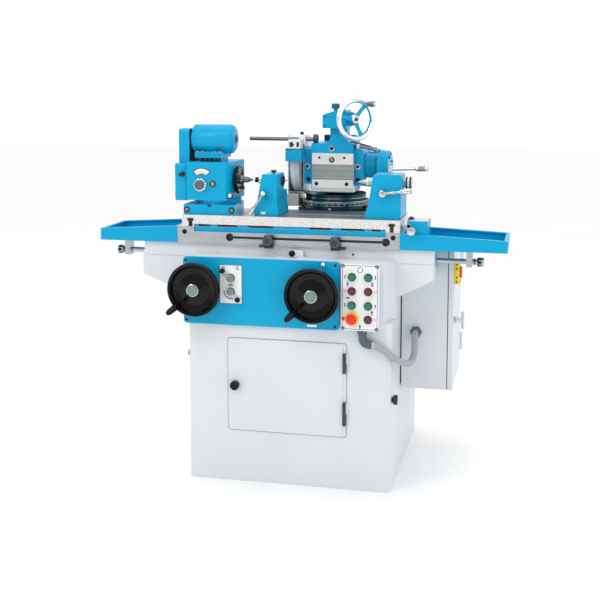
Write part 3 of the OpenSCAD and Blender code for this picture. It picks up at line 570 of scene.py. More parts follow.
def catmull(points, steps):
    """A smooth curve through points, with steps samples to each span."""
    pts = [Vector(p) for p in points]
    last = len(pts) - 1
    out = []
    for i in range(last):
        a, b, c, d = pts[max(i - 1, 0)], pts[i], pts[i + 1], pts[min(i + 2, last)]
        for s in range(steps):
            t = s / steps
            out.append(0.5 * (2 * b + (c - a) * t + (2 * a - 5 * b + 4 * c - d) * t * t
                              + (3 * b - a - 3 * c + d) * t ** 3))
    out.append(pts[-1])
    return out


# ---------------------------------------------------------------- conduit

ELBOW = Vector((0.285, -0.4175, 0.565))
GLAND = Vector((0.451, -0.145, 0.558))
HOSE_D = 0.026
HOSE_ROUTE = [(0.311, -0.4175, 0.565), (0.336, -0.4185, 0.563), (0.368, -0.420, 0.545),
              (0.405, -0.404, 0.514),
              (0.436, -0.350, 0.486), (0.451, -0.290, 0.478), (0.456, -0.245, 0.498),
              (0.454, -0.210, 0.533),
              (0.451, -0.185, 0.554), (0.451, -0.162, 0.558)]
BOX_BOTTOM = 0.617


def conduit():
    """The grey conduit from the control box to the cabinet, with its elbow and its gland."""
    route = catmull(HOSE_ROUTE, 24)
    hose = tube("conduit_hose", route, HOSE_D / 2, hose_grey, "base", 24, ridge=0.0007, pitch=0.0052)
    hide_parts("flexible_conduit")
    bend = [ELBOW + Vector((0, 0, 0.046)), ELBOW + Vector((0, 0, 0.026)), ELBOW + Vector((0.004, 0, 0.010)),
            ELBOW + Vector((0.012, 0, 0.002)), ELBOW + Vector((0.028, 0, 0)), ELBOW + Vector((0.040, 0, 0))]
    elbow = tube("conduit_elbow", catmull(bend, 8), 0.0146, fitting_grey, "base", 28)
    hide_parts("conduit_fittings")
    lathe("elbow_collar", [(0.0148, 0), (0.017, 0.001), (0.017, 0.009), (0.0155, 0.012)],
          (ELBOW.x, ELBOW.y, BOX_BOTTOM - 0.012), UP, fitting_grey, "base")
    hex_nut("elbow_nut", ELBOW + Vector((0.022, 0, 0)), RIGHT, 0.029, 0.012, fitting_grey, "base")
    lathe("elbow_ferrule", [(0.0142, 0), (0.0158, 0.001), (0.0158, 0.006), (0.0142, 0.008)],
          ELBOW + Vector((0.036, 0, 0)), RIGHT, bright_turned, "base")
    hex_nut("gland_nut", GLAND, FRONT, 0.040, 0.012, fitting_grey, "base")
    lathe("gland_dome", [(0.018, 0), (0.018, 0.008), (0.0165, 0.0145), (0.0138, 0.0165)],
          GLAND + Vector((0, -0.0115, 0)), FRONT, fitting_grey, "base")


# ---------------------------------------------------------------- base and front panel

BASE_FRONT = -0.4
PANEL_FRONT = -0.415
REAR_FACE = 0.4020


def base_details():
    """Door seal and hinges, side knob and cap, panel screws and bed fittings."""
    lo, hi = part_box("base_door")
    door_cx, door_cz = (lo.x + hi.x) / 2, (lo.z + hi.z) / 2
    frame_line("door_seal", door_cx, BASE_FRONT + 0.0001, door_cz, hi.x - lo.x + 0.007, hi.z - lo.z + 0.007,
               0.0035,
               0.014, 0.0008, hose_grey, "base")
    for i, (z0, z1) in enumerate(((0.252, 0.334), (0.452, 0.519))):
        lathe(f"hinge_pin_{i}", [(0, 0), (0.0056, 0.001), (0.0066, 0.003), (0.0066, z1 - z0 + 0.006),
                                 (0.0056, z1 - z0 + 0.008), (0, z1 - z0 + 0.009)],
              (0.217, -0.409, z0 - 0.0045), UP, dark_iron, "base", 20)
    # Star knob of the coolant tap on the right side, and red filler cap on the left
    star = [((0.020 if k % 2 else 0.0145) * math.cos(math.pi * k / 6),
             (0.020 if k % 2 else 0.0145) * math.sin(math.pi * k / 6))
            for k in range(12)]
    right = place((0.3955, -0.372, 0.350), RIGHT)
    o = shape_plate("side_star_knob", star, 0.016, right, black_satin, "base")
    soften(o, 0.002, 3)
    lathe("side_star_post", [(0.014, 0), (0.010, 0.003), (0.008, 0.006)], (0.3901, -0.372, 0.350), RIGHT,
          bright_turned, "base")
    lathe("filler_cap", [(0.017, 0), (0.017, 0.004), (0.013, 0.006), (0.013, 0.014), (0.0115, 0.016),
                         (0, 0.016)],
          (-0.3901, -0.345, 0.478), LEFT, red, "base")
    # Painted highlight: a white strip for the lit top edge of the apron over the panel, and the panel's
    # screws
    plate("apron_top_highlight", -0.112, -0.4001, 0.8665, 0.560, 0.003, 0.001, 0.0005, paint_white, "base")
    front_screws("panel_screw", PANEL_FRONT, ((-0.391, 0.853), (0.183, 0.853), (-0.391, 0.624),
                                              (0.183, 0.624)), 0.009, 0.004, "base", black_satin)
    lathe("panel_lamp", [(0.0095, 0), (0.0095, 0.004), (0.008, 0.006), (0.006, 0.0105), (0.003, 0.0122),
                         (0, 0.0125)],
          (0.138, PANEL_FRONT, 0.853), FRONT, chrome, "base")
    plate("panel_tag", 0.096, PANEL_FRONT, 0.624, 0.036, 0.008, 0.0008, 0.001, aluminium, "base")
    # Bed: oil hole, marks, end wiper
    lathe("bed_oil_hole", [(0.0045, 0), (0.0045, 0.0006), (0, 0.0008)], (0.228, -0.295, 0.876), FRONT,
          black_satin, "base", 24)
    plate("bed_mark", -0.298, -0.2951, 0.860, 0.020, 0.006, 0.0006, 0.001, black_satin, "base")
    block("bed_end_stop", (0.497, -0.294, 0.8865), (0.5305, -0.245, 0.8995), black_satin, "base", 0.002)
    # Painted shadow in the joint between base and cabinet
    block("cabinet_joint_shadow", (0.3901, -0.138, 0.345), (0.3949, 0.230, 0.640), rubber, "base", 0.0004)
    for i, (x, y) in enumerate(((-0.36, -0.37), (0.36, -0.37), (-0.36, 0.37), (0.36, 0.37))):
        lathe(f"levelling_foot_{i}", [(0.020, 0), (0.020, 0.002), (0, 0.002)], (x, y, -0.0003), UP, rubber,
              "base", 24)


def valve_details():
    """Border, bosses, generic signs and lever balls of the valve plate."""
    x, y = -0.214, -0.418
    frame_line("valve_border", x, y, 0.767, 0.088, 0.148, 0.0016, 0.002, 0.0005, maroon, "base")
    plate("valve_face", x, y, 0.767, 0.0836, 0.1436, 0.0004, 0.002, plate_white, "base")
    for i, z in enumerate((0.791, 0.739)):
        ring(f"valve_boss_{i}", (x, y - 0.0005, z), FRONT, 0.027, 0.033, 0.003, mid_iron, "base")
    for side in (-1, 1):
        arc_band(f"valve_icon_{side + 1}", x + side * 0.027, y - 0.0004, 0.829, 0.006, 0.0016, 40, 330,
                 0.0004, black_satin, "base")
        arc_band(f"valve_icon_in_{side + 1}", x + side * 0.027, y - 0.0004, 0.829, 0.0022, 0.0014, 0, 359,
                 0.0004, mid_iron, "base")
    arc_band("valve_arc", x, y - 0.0004, 0.739, 0.026, 0.003, 175, 290, 0.0005, black_satin, "base")
    shape_plate("valve_mark", [(0.010 * math.cos(k * math.pi / 12),
                                0.0045 * math.sin(k * math.pi / 12)) for k in range(24)],
                0.0005, on_front(x, y - 0.0004, 0.765), mid_iron, "base")
    for name, z, angle in (("upper", 0.791, 137), ("lower", 0.739, -45)):
        a = math.radians(angle)
        body = f"valve_lever_{name}_body"
        ball(f"valve_ball_{name}", (x + 0.040 * math.cos(a), -0.430, z + 0.040 * math.sin(a)), 0.0206, body,
             black_gloss)
        lathe(f"valve_cap_{name}", [(0.0133, 0), (0.0133, 0.015), (0.0115, 0.0178), (0.004, 0.0186),
                                    (0, 0.0186)],
              (x, -0.419, z), FRONT, mid_iron, body)


def handwheel_details(node_name, body, cx, cz):
    """Hub ring and cap."""
    face = -0.480
    lathe(f"{node_name}_hub", [(0.0235, -0.006), (0.0245, 0.0005), (0.0235, 0.003), (0.0205, 0.0042),
                               (0.0192, 0.0030)],
          (cx, face + 0.0002, cz), FRONT, bright_turned, body)
    lathe(f"{node_name}_cap", [(0.0196, 0), (0.0196, 0.0040), (0.0180, 0.0058), (0.010, 0.0068),
                               (0, 0.0070)],
          (cx, face, cz), FRONT, cap_green, body)


# ---------------------------------------------------------------- control box

BOX_FACE = -0.430
BUTTON_FACE = -0.4341


def control_box_details():
    """Frame line, corner screws, bezels, pictograms and lamp."""
    lo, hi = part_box("control_box")
    cx, cz = (lo.x + hi.x) / 2, (lo.z + hi.z) / 2
    frame_line("box_frame", cx, BOX_FACE, cz, 0.130, 0.236, 0.0016, 0.003, 0.0005, black_satin, "base")
    for i, (sx, sz) in enumerate(((-1, -1), (1, -1), (-1, 1), (1, 1))):
        x, z = cx + sx * 0.0625, cz + sz * 0.1155
        lathe(f"box_screw_seat_{i}", [(0.0068, 0), (0.0068, 0.0006), (0.0052, 0.0008)], (x, BOX_FACE, z),
              FRONT, black_satin, "base", 24)
        hex_socket_screw(f"box_screw_{i}", (x, BOX_FACE - 0.0004, z), FRONT, 0.0075, 0.003, "base",
                         bright_turned)
    for column, x in enumerate((0.248, 0.308)):
        for row, z in enumerate((0.816, 0.764, 0.711, 0.661)):
            if (column, row) == (0, 3):
                ring("stop_disc", (x, BUTTON_FACE, z), FRONT, 0.020, 0.052, 0.0012, yellow, "base")
                continue
            ring(f"bezel_{column}_{row}", (x, BUTTON_FACE, z), FRONT, 0.0272, 0.0312, 0.0034, black_satin,
                 "base", 36)
    # Pictograms: a turning sign, dashes, arrows and small rings
    arc_band("icon_turn", 0.278, BOX_FACE, 0.842, 0.0095, 0.0024, 70, 290, 0.0004, dark_iron, "base")
    arc_band("icon_turn_2", 0.278, BOX_FACE, 0.842, 0.0095, 0.0024, -50, 50, 0.0004, dark_iron, "base")
    for i, (x, z) in enumerate(((0.222, 0.816), (0.334, 0.816), (0.222, 0.711), (0.334, 0.711))):
        plate(f"icon_dash_{i}", x, BOX_FACE, z, 0.0034, 0.014, 0.0004, 0.0005, black_satin, "base")
    for i, (x, z) in enumerate(((0.222, 0.764), (0.334, 0.764), (0.334, 0.661))):
        arc_band(f"icon_ring_{i}", x, BOX_FACE, z, 0.0040, 0.0017, 0, 359, 0.0004, red, "base", 20)
    for i, (x, z, turn) in enumerate(((0.232, 0.790, 90), (0.322, 0.790, -90), (0.232, 0.738, 0),
                                      (0.322, 0.686, 90),
                                     (0.278, 0.632, 90))):
        move = on_front(x, BOX_FACE, z) @ Matrix.Rotation(math.radians(turn), 4, "Z")
        shape_plate(f"icon_arrow_{i}", arrow_outline(0.017, 0.011), 0.0004, move, dark_iron, "base")
    lathe("fault_lamp", [(0.0065, 0), (0.0065, 0.003), (0.005, 0.006), (0.0025, 0.0073), (0, 0.0076)],
          (0.217, BOX_FACE, 0.661), FRONT, red, "base", 28)


# ---------------------------------------------------------------- cabinet

DOOR_SIDE = 0.5921


def cabinet_details():
    """Door seal, switch body, latch rose, hinge caps and vents."""
    lo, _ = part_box("cabinet_door")
    bm = bmesh.new()
    ring_plate(bm, round_outline(0.384, 0.552, 0.006), round_outline(0.364, 0.532, 0.004), 0.0007,
               place((lo.x - 0.0008, 0.050, 0.612), RIGHT))
    finish_piece("door_gasket", bm, rubber, "base")
    side = lo.x + 0.0001
    front = -0.1455
    # Painted shade: a black line in the gap at the door's front edge
    block("door_gap_shade", (side - 0.0026, front, 0.336), (side + 0.0006, front + 0.0008, 0.888),
          black_satin, "cabinet_door_body", 0.0002)
    move = place((DOOR_SIDE, -0.095, 0.790), RIGHT)
    o = shape_plate("switch_plate", round_outline(0.062, 0.090, 0.004), 0.019, move, yellow,
                    "cabinet_door_body")
    soften(o, 0.0015)
    for i, (dy, dz) in enumerate(((-0.024, -0.037), (0.024, -0.037), (-0.024, 0.037), (0.024, 0.037))):
        hex_socket_screw(f"switch_screw_{i}", (0.6110, -0.095 + dy, 0.790 + dz), RIGHT, 0.007, 0.0026,
                         "cabinet_door_body", black_satin)
    for i, dz in enumerate((-0.034, -0.017, 0.017, 0.034)):
        plate(f"switch_mark_{i}", 0.6015, -0.1260, 0.790 + dz, 0.006, 0.0065, 0.0004, 0.001, black_satin,
              "cabinet_door_body")
    lathe("latch_rose", [(0.017, 0), (0.017, 0.002), (0.014, 0.004), (0.0125, 0.0045)],
          (DOOR_SIDE, -0.100, 0.602), RIGHT, chrome, "cabinet_door_body")
    lathe("latch_hub", [(0.0105, 0), (0.0115, 0.004), (0.0095, 0.012), (0.0105, 0.016)],
          (0.6003, -0.100, 0.602), RIGHT, chrome, "latch_handle_body", 32)
    for i, z in enumerate((0.40, 0.80)):
        lathe(f"cabinet_hinge_cap_{i}", [(0.0045, 0), (0.0052, 0.001), (0.0052, 0.004), (0.003, 0.006),
                                         (0, 0.0062)], (0.597, 0.251, z + 0.034), UP, bright_turned, "base",
              20)
    for i in range(6):
        z = 0.470 + i * 0.018
        block(f"cabinet_vent_{i}", (0.430, 0.2448, z), (0.540, 0.2462, z + 0.006), black_satin, "base",
              0.0006)


# ---------------------------------------------------------------- tables

TABLE_FRONT = -0.310
GUTTER_X = (-0.392, 0.352)


def table_details():
    """Gutter, dark slots in the gap, dog slot and holes in painted shade, clamp screws and ground top."""
    x0, x1 = GUTTER_X
    back = TABLE_FRONT + 0.008
    block("gutter_wall", (x0 + 0.0004, back - 0.0006, 0.9472), (x1 - 0.0004, back - 0.0001, 0.9655),
          paint_blue, "table", 0.0002)
    block("gutter_floor", (x0 + 0.0004, TABLE_FRONT + 0.0002, 0.9470), (x1 - 0.0004, back - 0.0006, 0.9476),
          paint_blue, "table", 0.0002)
    block("gutter_relief", (x0 + 0.0004, back - 0.0006, 0.9665), (x1 - 0.0004, back - 0.0001, 0.9757),
          paint_blue, "swivel_table", 0.0002)
    # Painted shade: black dashes for the dark openings in the gap between the two tables
    for i, (a, b) in enumerate(((-0.376, -0.330), (-0.300, -0.222), (-0.176, -0.080), (0.062, 0.146),
                                (0.182, 0.270), (0.300, 0.332))):
        block(f"gap_shade_dash_{i}", (a, back - 0.0016, 0.9668), (b, back - 0.0006, 0.9750), black_satin,
              "swivel_table", 0.0008)
    # Painted shade: dark floors inside the dog slot and inside the wells at its two ends
    block("dog_slot_shade", (-0.249, TABLE_FRONT + 0.0125, 0.9235), (0.353, TABLE_FRONT + 0.0138, 0.9325),
          dark_iron, "table", 0.0002)
    for i, x in enumerate((-0.249, 0.353)):
        ring(f"slot_end_{i}", (x, TABLE_FRONT, 0.928), FRONT, 0.0272, 0.0305, 0.0006, dark_iron, "table")
        lathe(f"slot_well_shade_{i}", [(0.0132, 0), (0.0132, 0.0006), (0, 0.0008)],
              (x, TABLE_FRONT + 0.0138, 0.928), FRONT, black_satin, "table")
    # Painted shade: black linings inside the two holes at the table's ends
    for i, (x, z) in enumerate(((-0.430, 0.945), (0.380, 0.946))):
        lathe(f"end_hole_shade_{i}", [(0.0094, 0), (0.0094, 0.0140), (0.0086, 0.0145), (0.0086, 0.004),
                                (0, 0.004)], (x, TABLE_FRONT + 0.0150, z), FRONT, black_satin, "table")
    # Clamp screws in the notches of the upper table
    for i, x in enumerate((-0.406, 0.374)):
        block(f"clamp_stem_{i}", (x - 0.0048, TABLE_FRONT - 0.0015, 0.9665),
              (x + 0.0048, TABLE_FRONT + 0.011, 0.990), black_satin, "swivel_table", 0.0012)
        block(f"clamp_head_{i}", (x - 0.0125, TABLE_FRONT - 0.0045, 0.988),
              (x + 0.0125, TABLE_FRONT - 0.0003, 0.997), black_satin, "swivel_table", 0.0015)
    # Ground top, on both sides of the T-slot
    for i, (y0, y1) in enumerate(((-0.3092, -0.2072), (-0.1928, -0.0608))):
        block(f"table_top_{i}", (-0.4392, y0, 1.0109), (0.4042, y1, 1.01115), table_top_steel,
              "swivel_table", 0)
    for i, y in enumerate((-0.2205, -0.1795, -0.118)):
        block(f"table_groove_{i}", (-0.4390, y - 0.0014, 1.0111), (0.4040, y + 0.0014, 1.0113), dark_iron,
              "swivel_table", 0)
    # Ends of the T-slot, dark inside with painted shade
    block("t_slot_shade", (-0.4398, -0.2118, 0.9882), (0.4048, -0.1882, 0.9890), dark_iron, "swivel_table",
          0.0002)


def dog_details():
    """Knob caps and pins of the trip dogs, and the trip ball."""
    for name, x in (("left_dog", -0.092), ("right_dog", 0.165)):
        body = f"{name}_body"
        lathe(f"{name}_cap", [(0.0172, 0), (0.0172, 0.0195), (0.0160, 0.0222), (0.0140, 0.0228),
                              (0.0130, 0.0220), (0, 0.0216)],
              (x, -0.330, 0.924), FRONT, knob_grey, body)
        for k in range(3):
            hex_socket_screw(f"{name}_screw_{k}", (x - 0.011 + 0.011 * k, -0.3302, 0.9), FRONT, 0.006,
                             0.003, body, dark_iron)
    ball("trip_ball", (0.002, -0.337, 0.878), 0.0256, "reversing_lever_body", black_gloss)
    plate("trip_bracket_face", 0.014, -0.3091, 0.873, 0.052, 0.030, 0.0009, 0.006, paint_white, "base",
          0.0003)


def adjuster_details():
    """Fine adjustment of the table's swivel: scale, clamp screws and knurled knob."""
    tilt = Matrix.Translation((0.468, -0.250, 1.0098)) @ Matrix.Rotation(math.radians(-9), 4, "Z")
    shape_plate("swivel_scale", round_outline(0.066, 0.030, 0.003), 0.0014, tilt, aluminium, "table")
    bm = bmesh.new()
    for k in range(-10, 11):
        h = 0.011 if k % 5 == 0 else 0.006
        add_prism(bm, [(k * 0.0028 - 0.0003, -0.013), (k * 0.0028 + 0.0003, -0.013),
                       (k * 0.0028 + 0.0003, h - 0.013), (k * 0.0028 - 0.0003, h - 0.013)],
                  0.0003, tilt @ Matrix.Translation((0, 0, 0.0014)))
    finish_piece("swivel_scale_lines", bm, black_satin, "table")
    block("adjuster_top", (0.4312, -0.2962, 1.0091), (0.5048, -0.1908, 1.0099), aluminium, "table", 0.0003)
    for i, (x, y, z) in enumerate(((0.438, -0.282, 1.0098), (0.446, -0.262, 1.0098),
                                   (0.4375, -0.240, 1.0098))):
        hex_socket_screw(f"adjuster_screw_{i}", (x, y, z), UP, 0.013, 0.009, "table", black_satin, 0.018)
    knurled_knob("swivel_knob_cap", (0.449, -0.3185, 0.975), FRONT, 0.0335, 0.0208, "swivel_knob_body",
                 bright_turned, 30)
    lathe("swivel_knob_face", [(0.0125, 0), (0.0125, 0.0006), (0.0060, 0.0016), (0, 0.0018)],
          (0.449, -0.3393, 0.975), FRONT, chrome, "swivel_knob_body")
    hex_socket_screw("adjuster_front_screw", (0.436, -0.2971, 0.990), FRONT, 0.014, 0.006, "table",
                     black_satin, 0.019)


def rod_details():
    """Nut and ring at each end of the piston rod."""
    for i, x in enumerate((-0.712, 0.672)):
        hex_nut(f"rod_nut_{i}", (x + (0.012 if i else -0.012), -0.215, 0.852), RIGHT if i else LEFT, 0.0315,
                0.0165, black_satin, "table")
        ring(f"rod_ring_{i}", (x, -0.215, 0.852), RIGHT if i else LEFT, 0.0202, 0.026, 0.005, maroon,
             "table")


# ---------------------------------------------------------------- workhead

WORK_Y = -0.200
WORK_Z = 1.141
COVER_SIDE = -0.4721


def work_at(x):
    """A point on the work axis."""
    return (x, WORK_Y, WORK_Z)


def workhead_details():
    """Speed dial and knob, plug, cover, motor fittings and base bolts."""
    face = -0.300
    fan = on_front(-0.362, face, 1.146)
    shape_plate("speed_scale_edge", fan_outline(0.0212, 0.0462, 39, 141), 0.0008, fan, maroon, "workhead")
    shape_plate("speed_scale", fan_outline(0.0240, 0.0430, 44, 136), 0.0012, fan, plate_white, "workhead")
    bm = bmesh.new()
    for k in range(9):
        a = 52 + 76 * k / 8
        add_prism(bm, fan_outline(0.0290 if k % 2 else 0.0265, 0.0330, a - 0.9, a + 0.9, 1), 0.0003,
                  fan @ Matrix.Translation((0, 0, 0.0012)))
    finish_piece("speed_scale_marks", bm, black_satin, "workhead")
    knurled_knob("speed_knob_rim", (-0.366, face - 0.0012, 1.127), FRONT, 0.0515, 0.013, "speed_knob_body",
                 chrome, 12, 0.06)
    lathe("speed_knob_cap", [(0.0180, 0), (0.0180, 0.012), (0.0165, 0.0148), (0.008, 0.0158), (0, 0.016)],
          (-0.366, face - 0.0125, 1.127), FRONT, knob_grey, "speed_knob_body")
    ring("body_plug_ring", (-0.318, face, 1.131), FRONT, 0.013, 0.025, 0.003, dark_iron, "workhead")
    lathe("body_plug", [(0.0066, 0), (0.0066, 0.0026), (0.004, 0.0036), (0, 0.0038)], (-0.318, face, 1.131),
          FRONT,
          brass, "workhead", 28)
    _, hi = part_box("pulley_cover")
    block("cover_seam", (hi.x - 0.0006, -0.3003, 1.068), (hi.x + 0.0008, -0.2921, 1.2050), rubber,
          "workhead", 0.0002)
    lathe("cover_stub", [(0.0095, 0), (0.0095, 0.003), (0.0075, 0.005), (0.0075, 0.016), (0.0088, 0.018),
                         (0.0088, 0.024), (0.006, 0.026), (0, 0.0262)],
          (-0.4415, -0.2921, 1.166), FRONT, black_satin, "workhead", 28)
    block("belt_shadow", (-0.4238, -0.252, 1.2135), (-0.4200, -0.150, 1.330), rubber, "workhead", 0.0008)
    # Motor: end vent, terminal boss, foot bolts
    motor_z = 1.298
    bm = bmesh.new()
    add_lathe(bm, [(0.0175, 0), (0.0175, 0.0006), (0.0155, 0.0010), (0.0135, 0.0006)],
              (-0.2520, WORK_Y, motor_z), RIGHT, 40)
    finish_piece("motor_vent_rim", bm, black_satin, "workhead")
    for k in range(8):
        a = math.pi * k / 4
        at = Vector((-0.2519, WORK_Y + 0.010 * math.cos(a), motor_z + 0.010 * math.sin(a)))
        lathe(f"motor_vent_{k}", [(0.0032, 0), (0.0032, 0.0004), (0, 0.0005)], at, RIGHT, black_satin,
              "workhead", 18)
    lathe("motor_vent_hub", [(0.0045, 0), (0.0045, 0.0006), (0, 0.0008)], (-0.2519, WORK_Y, motor_z), RIGHT,
          dark_iron, "workhead", 24)
    a = math.radians(-26)
    r = 0.0565
    lathe("motor_boss", [(0.0052, 0), (0.0052, 0.003), (0.0038, 0.0044), (0, 0.0046)],
          (-0.302, WORK_Y - r * math.cos(a), motor_z + r * math.sin(a)), (0, -math.cos(a), math.sin(a)),
          mid_iron, "workhead", 24)
    for i, x in enumerate((-0.392, -0.372, -0.322, -0.302)):
        hex_socket_screw(f"motor_foot_bolt_{i}", (x, -0.2605 + 0.006, 1.2501), UP, 0.010, 0.007, "workhead",
                         dark_iron, 0.014)
    for i, x in enumerate((-0.380, -0.361, -0.342, -0.323, -0.309)):
        hex_nut(f"motor_stud_{i}", (x, -0.2501, 1.2205), FRONT, 0.012, 0.0085, dark_iron, "workhead")
    block("motor_pad_shadow", (-0.3875, -0.2508, 1.2135), (-0.3005, -0.2501, 1.2265), rubber, "workhead",
          0.0002)
    ring("motor_band", (-0.4120, WORK_Y, motor_z), RIGHT, 0.1142, 0.1156, 0.0030, paint_blue, "workhead",
         72)
    # Ball clamp at the foot of the body
    block("clamp_bracket", (-0.258, -0.3005, 1.074), (-0.240, -0.288, 1.092), black_satin, "workhead",
          0.002)
    ball("clamp_ball", (-0.249, -0.3045, 1.087), 0.015, "workhead", plate_white)
    scale_ring("base_scale_lines", (-0.325, -0.200, 0), 0.0921, 1.050, 1.0562, "swivel_table", -150, -30,
               60)
    for i, x in enumerate((-0.425, -0.2455)):
        ring(f"base_bolt_seat_{i}", (x, -0.2951, 1.030), FRONT, 0.012, 0.0235, 0.0025, black_satin,
             "swivel_table")
        hex_socket_screw(f"base_bolt_{i}", (x, -0.2951, 1.030), FRONT, 0.012, 0.0045, "swivel_table",
                         bright_turned)
    # Painted shade: a black block inside the notch of the workhead base
    block("base_notch_shade", (-0.3418, -0.2948, 1.0425), (-0.3262, -0.2842, 1.0496), black_satin, "swivel_table",
          0.0004)


def work_spindle_pieces():
    """Black faceplate with bolt heads, and the centre in its sleeve."""
    body = "work_spindle_body"
    face = lathe("faceplate", [(0.020, -0.012), (0.053, -0.012), (0.055, -0.010), (0.055, -0.002),
                               (0.053, 0.0), (0.030, 0.0), (0.028, -0.0015), (0.017, -0.0015)],
                 work_at(-0.2350), RIGHT, black_gloss, body, 72)
    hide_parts("work_spindle")
    lathe("spindle_shaft", [(0, 0), (0.020, 0), (0.020, 0.194), (0, 0.194)], work_at(-0.440), RIGHT,
          bright_turned, body)
    lathe("spindle_pulley", [(0.020, 0), (0.060, 0), (0.060, 0.004), (0.054, 0.008), (0.054, 0.014),
                             (0.060, 0.018), (0.060, 0.022), (0.020, 0.022)],
          work_at(-0.452), RIGHT, mid_iron, body, 64)
    lathe("spindle_nose", [(0.017, -0.0015), (0.017, 0.009), (0.0155, 0.012), (0.0120, 0.015),
                           (0.0115, 0.029), (0.0106, 0.031), (0.0015, 0.0515), (0, 0.052)],
          work_at(-0.2350), RIGHT, rod_steel, body)
    for k in range(4):
        a = math.pi / 4 + math.pi * k / 2
        hex_socket_screw(f"faceplate_screw_{k}",
                         (-0.2350, WORK_Y + 0.041 * math.cos(a), WORK_Z + 0.041 * math.sin(a)), RIGHT,
                         0.009, 0.003, body, mid_iron)
    block("driver_pin", (-0.2352, WORK_Y - 0.005, WORK_Z - 0.037), (-0.219, WORK_Y + 0.005, WORK_Z - 0.028),
          black_satin, body, 0.002)


# ---------------------------------------------------------------- tailstocks

TAIL_FRONT = -0.2851


def tailstock_details():
    """Collars, lever grips, knobs, tags and foot bolts."""
    table = "swivel_table"
    lathe("left_top_screw", [(0.006, 0), (0.006, 0.004), (0.0115, 0.005), (0.0115, 0.010), (0.0095, 0.0115),
                             (0, 0.0118)], (-0.098, -0.215, 1.1699), UP, black_satin, table, 32)
    ring("left_collar", work_at(-0.0695), RIGHT, 0.0345, 0.042, 0.0075, black_satin, table)
    ring("left_back_collar", work_at(-0.1415), LEFT, 0.0345, 0.040, 0.004, black_satin, table)
    ring("left_boss", (-0.107, TAIL_FRONT, 1.082), FRONT, 0.020, 0.036, 0.006, paint_blue, table)
    ball("left_lever_ball", (-0.117, -0.3115, 1.098), 0.023, "left_lever_body", chrome)
    tapered_arm("left_lever_grip", (-0.117 - 0.036, -0.304, 1.098 - 0.0535),
                (-0.117 - 0.0555, -0.304, 1.098 - 0.0825), 0.009, 0.011, "left_lever_body", chrome, 0.032,
                0.0168)
    plate("left_tag", -0.123, TAIL_FRONT, 1.022, 0.019, 0.0085, 0.0008, 0.001, plate_white, table)
    for i, dx in enumerate((-0.006, 0.006)):
        lathe(f"left_tag_pin_{i}", [(0.0016, 0), (0.0012, 0.0006), (0, 0.0007)],
              (-0.123 + dx, -0.2859, 1.022), FRONT, black_satin, table, 12)
    body = "left_quill_body"
    lathe("left_quill_knob", [(0.0102, 0), (0.0104, 0.016), (0.0085, 0.0188), (0, 0.019)], work_at(-0.1578),
          LEFT, black_gloss, body, 32)
    ring("left_quill_sleeve", work_at(-0.1460), LEFT, 0.0216, 0.0344, 0.0118, chrome, table, 40)
    lathe("left_centre_tip", [(0.0112, 0), (0.0104, 0.0102), (0.0048, 0.0236), (0.0048, 0.0240)],
          work_at(-0.0785), RIGHT, black_satin, body, 32)
    ring("right_boss", (0.338, TAIL_FRONT, 1.108), FRONT, 0.0262, 0.036, 0.006, paint_blue, table)
    lathe("right_hub_face", [(0.0127, 0), (0.0127, 0.0004), (0.010, 0.0020), (0.004, 0.0024), (0, 0.0024)],
          (0.338, -0.310, 1.108), FRONT, bright_turned, "right_lever_front_body")
    a = math.radians(7)
    start, end = 0.062, 0.1095
    tapered_arm("right_front_grip", (0.338 + start * math.cos(a), -0.302, 1.108 + start * math.sin(a)),
                (0.338 + end * math.cos(a), -0.302, 1.108 + end * math.sin(a)), 0.0105, 0.013,
                "right_lever_front_body", chrome, 0.040, 0.0205)
    arm = Vector((math.cos(math.radians(-14)) * math.cos(math.radians(3)),
                  math.sin(math.radians(-14)) * math.cos(math.radians(3)), math.sin(math.radians(3))))
    post = Vector((0.353, -0.200, 1.191))
    tapered_arm("right_top_grip", post + arm * 0.098, post + arm * 0.1478, 0.0115, 0.013,
                "right_lever_top_body", mid_iron, 0.046, 0.0192)
    lathe("right_post_cap", [(0.0113, 0), (0.0113, 0.0230), (0.0095, 0.0250), (0, 0.0252)],
          (post.x, post.y, 1.1776), UP, chrome, "right_lever_top_body")
    ring("right_collar", work_at(0.2985), LEFT, 0.0345, 0.044, 0.012, black_satin, table)
    body = "right_quill_body"
    for i, (x, w, d, m) in enumerate(((0.4122, 0.007, 0.0472, black_gloss), (0.4192, 0.007, 0.0478, chrome),
                                      (0.4262, 0.0076, 0.0472, black_gloss))):
        knurled_knob(f"right_knob_band_{i}", work_at(x), RIGHT, d, w, body, m, 36, 0.02)
    lathe("right_centre_sleeve", [(0.0172, 0), (0.0172, 0.006), (0.0145, 0.009), (0.0117, 0.0095)],
          work_at(0.2700), LEFT, plate_white, body, 40)
    for name, x0, x1 in (("left", -0.150, -0.076), ("right", 0.286, 0.388)):
        hex_socket_screw(f"{name}_foot_bolt", ((x0 + x1) / 2, -0.140, 1.0989), UP, 0.016, 0.010, table,
                         dark_iron, 0.024)
    plate("right_tag", 0.340, TAIL_FRONT, 1.066, 0.020, 0.003, 0.0006, 0.001, paint_blue, table)


# ---------------------------------------------------------------- wheelhead

SPINDLE_Y = 0.080
SPINDLE_Z = 1.182
FLANGE_FRONT = -0.0081
GEAR_FRONT = -0.0551


def spindle_at(x):
    """A point on the wheel spindle's axis."""
    return (x, SPINDLE_Y, SPINDLE_Z)


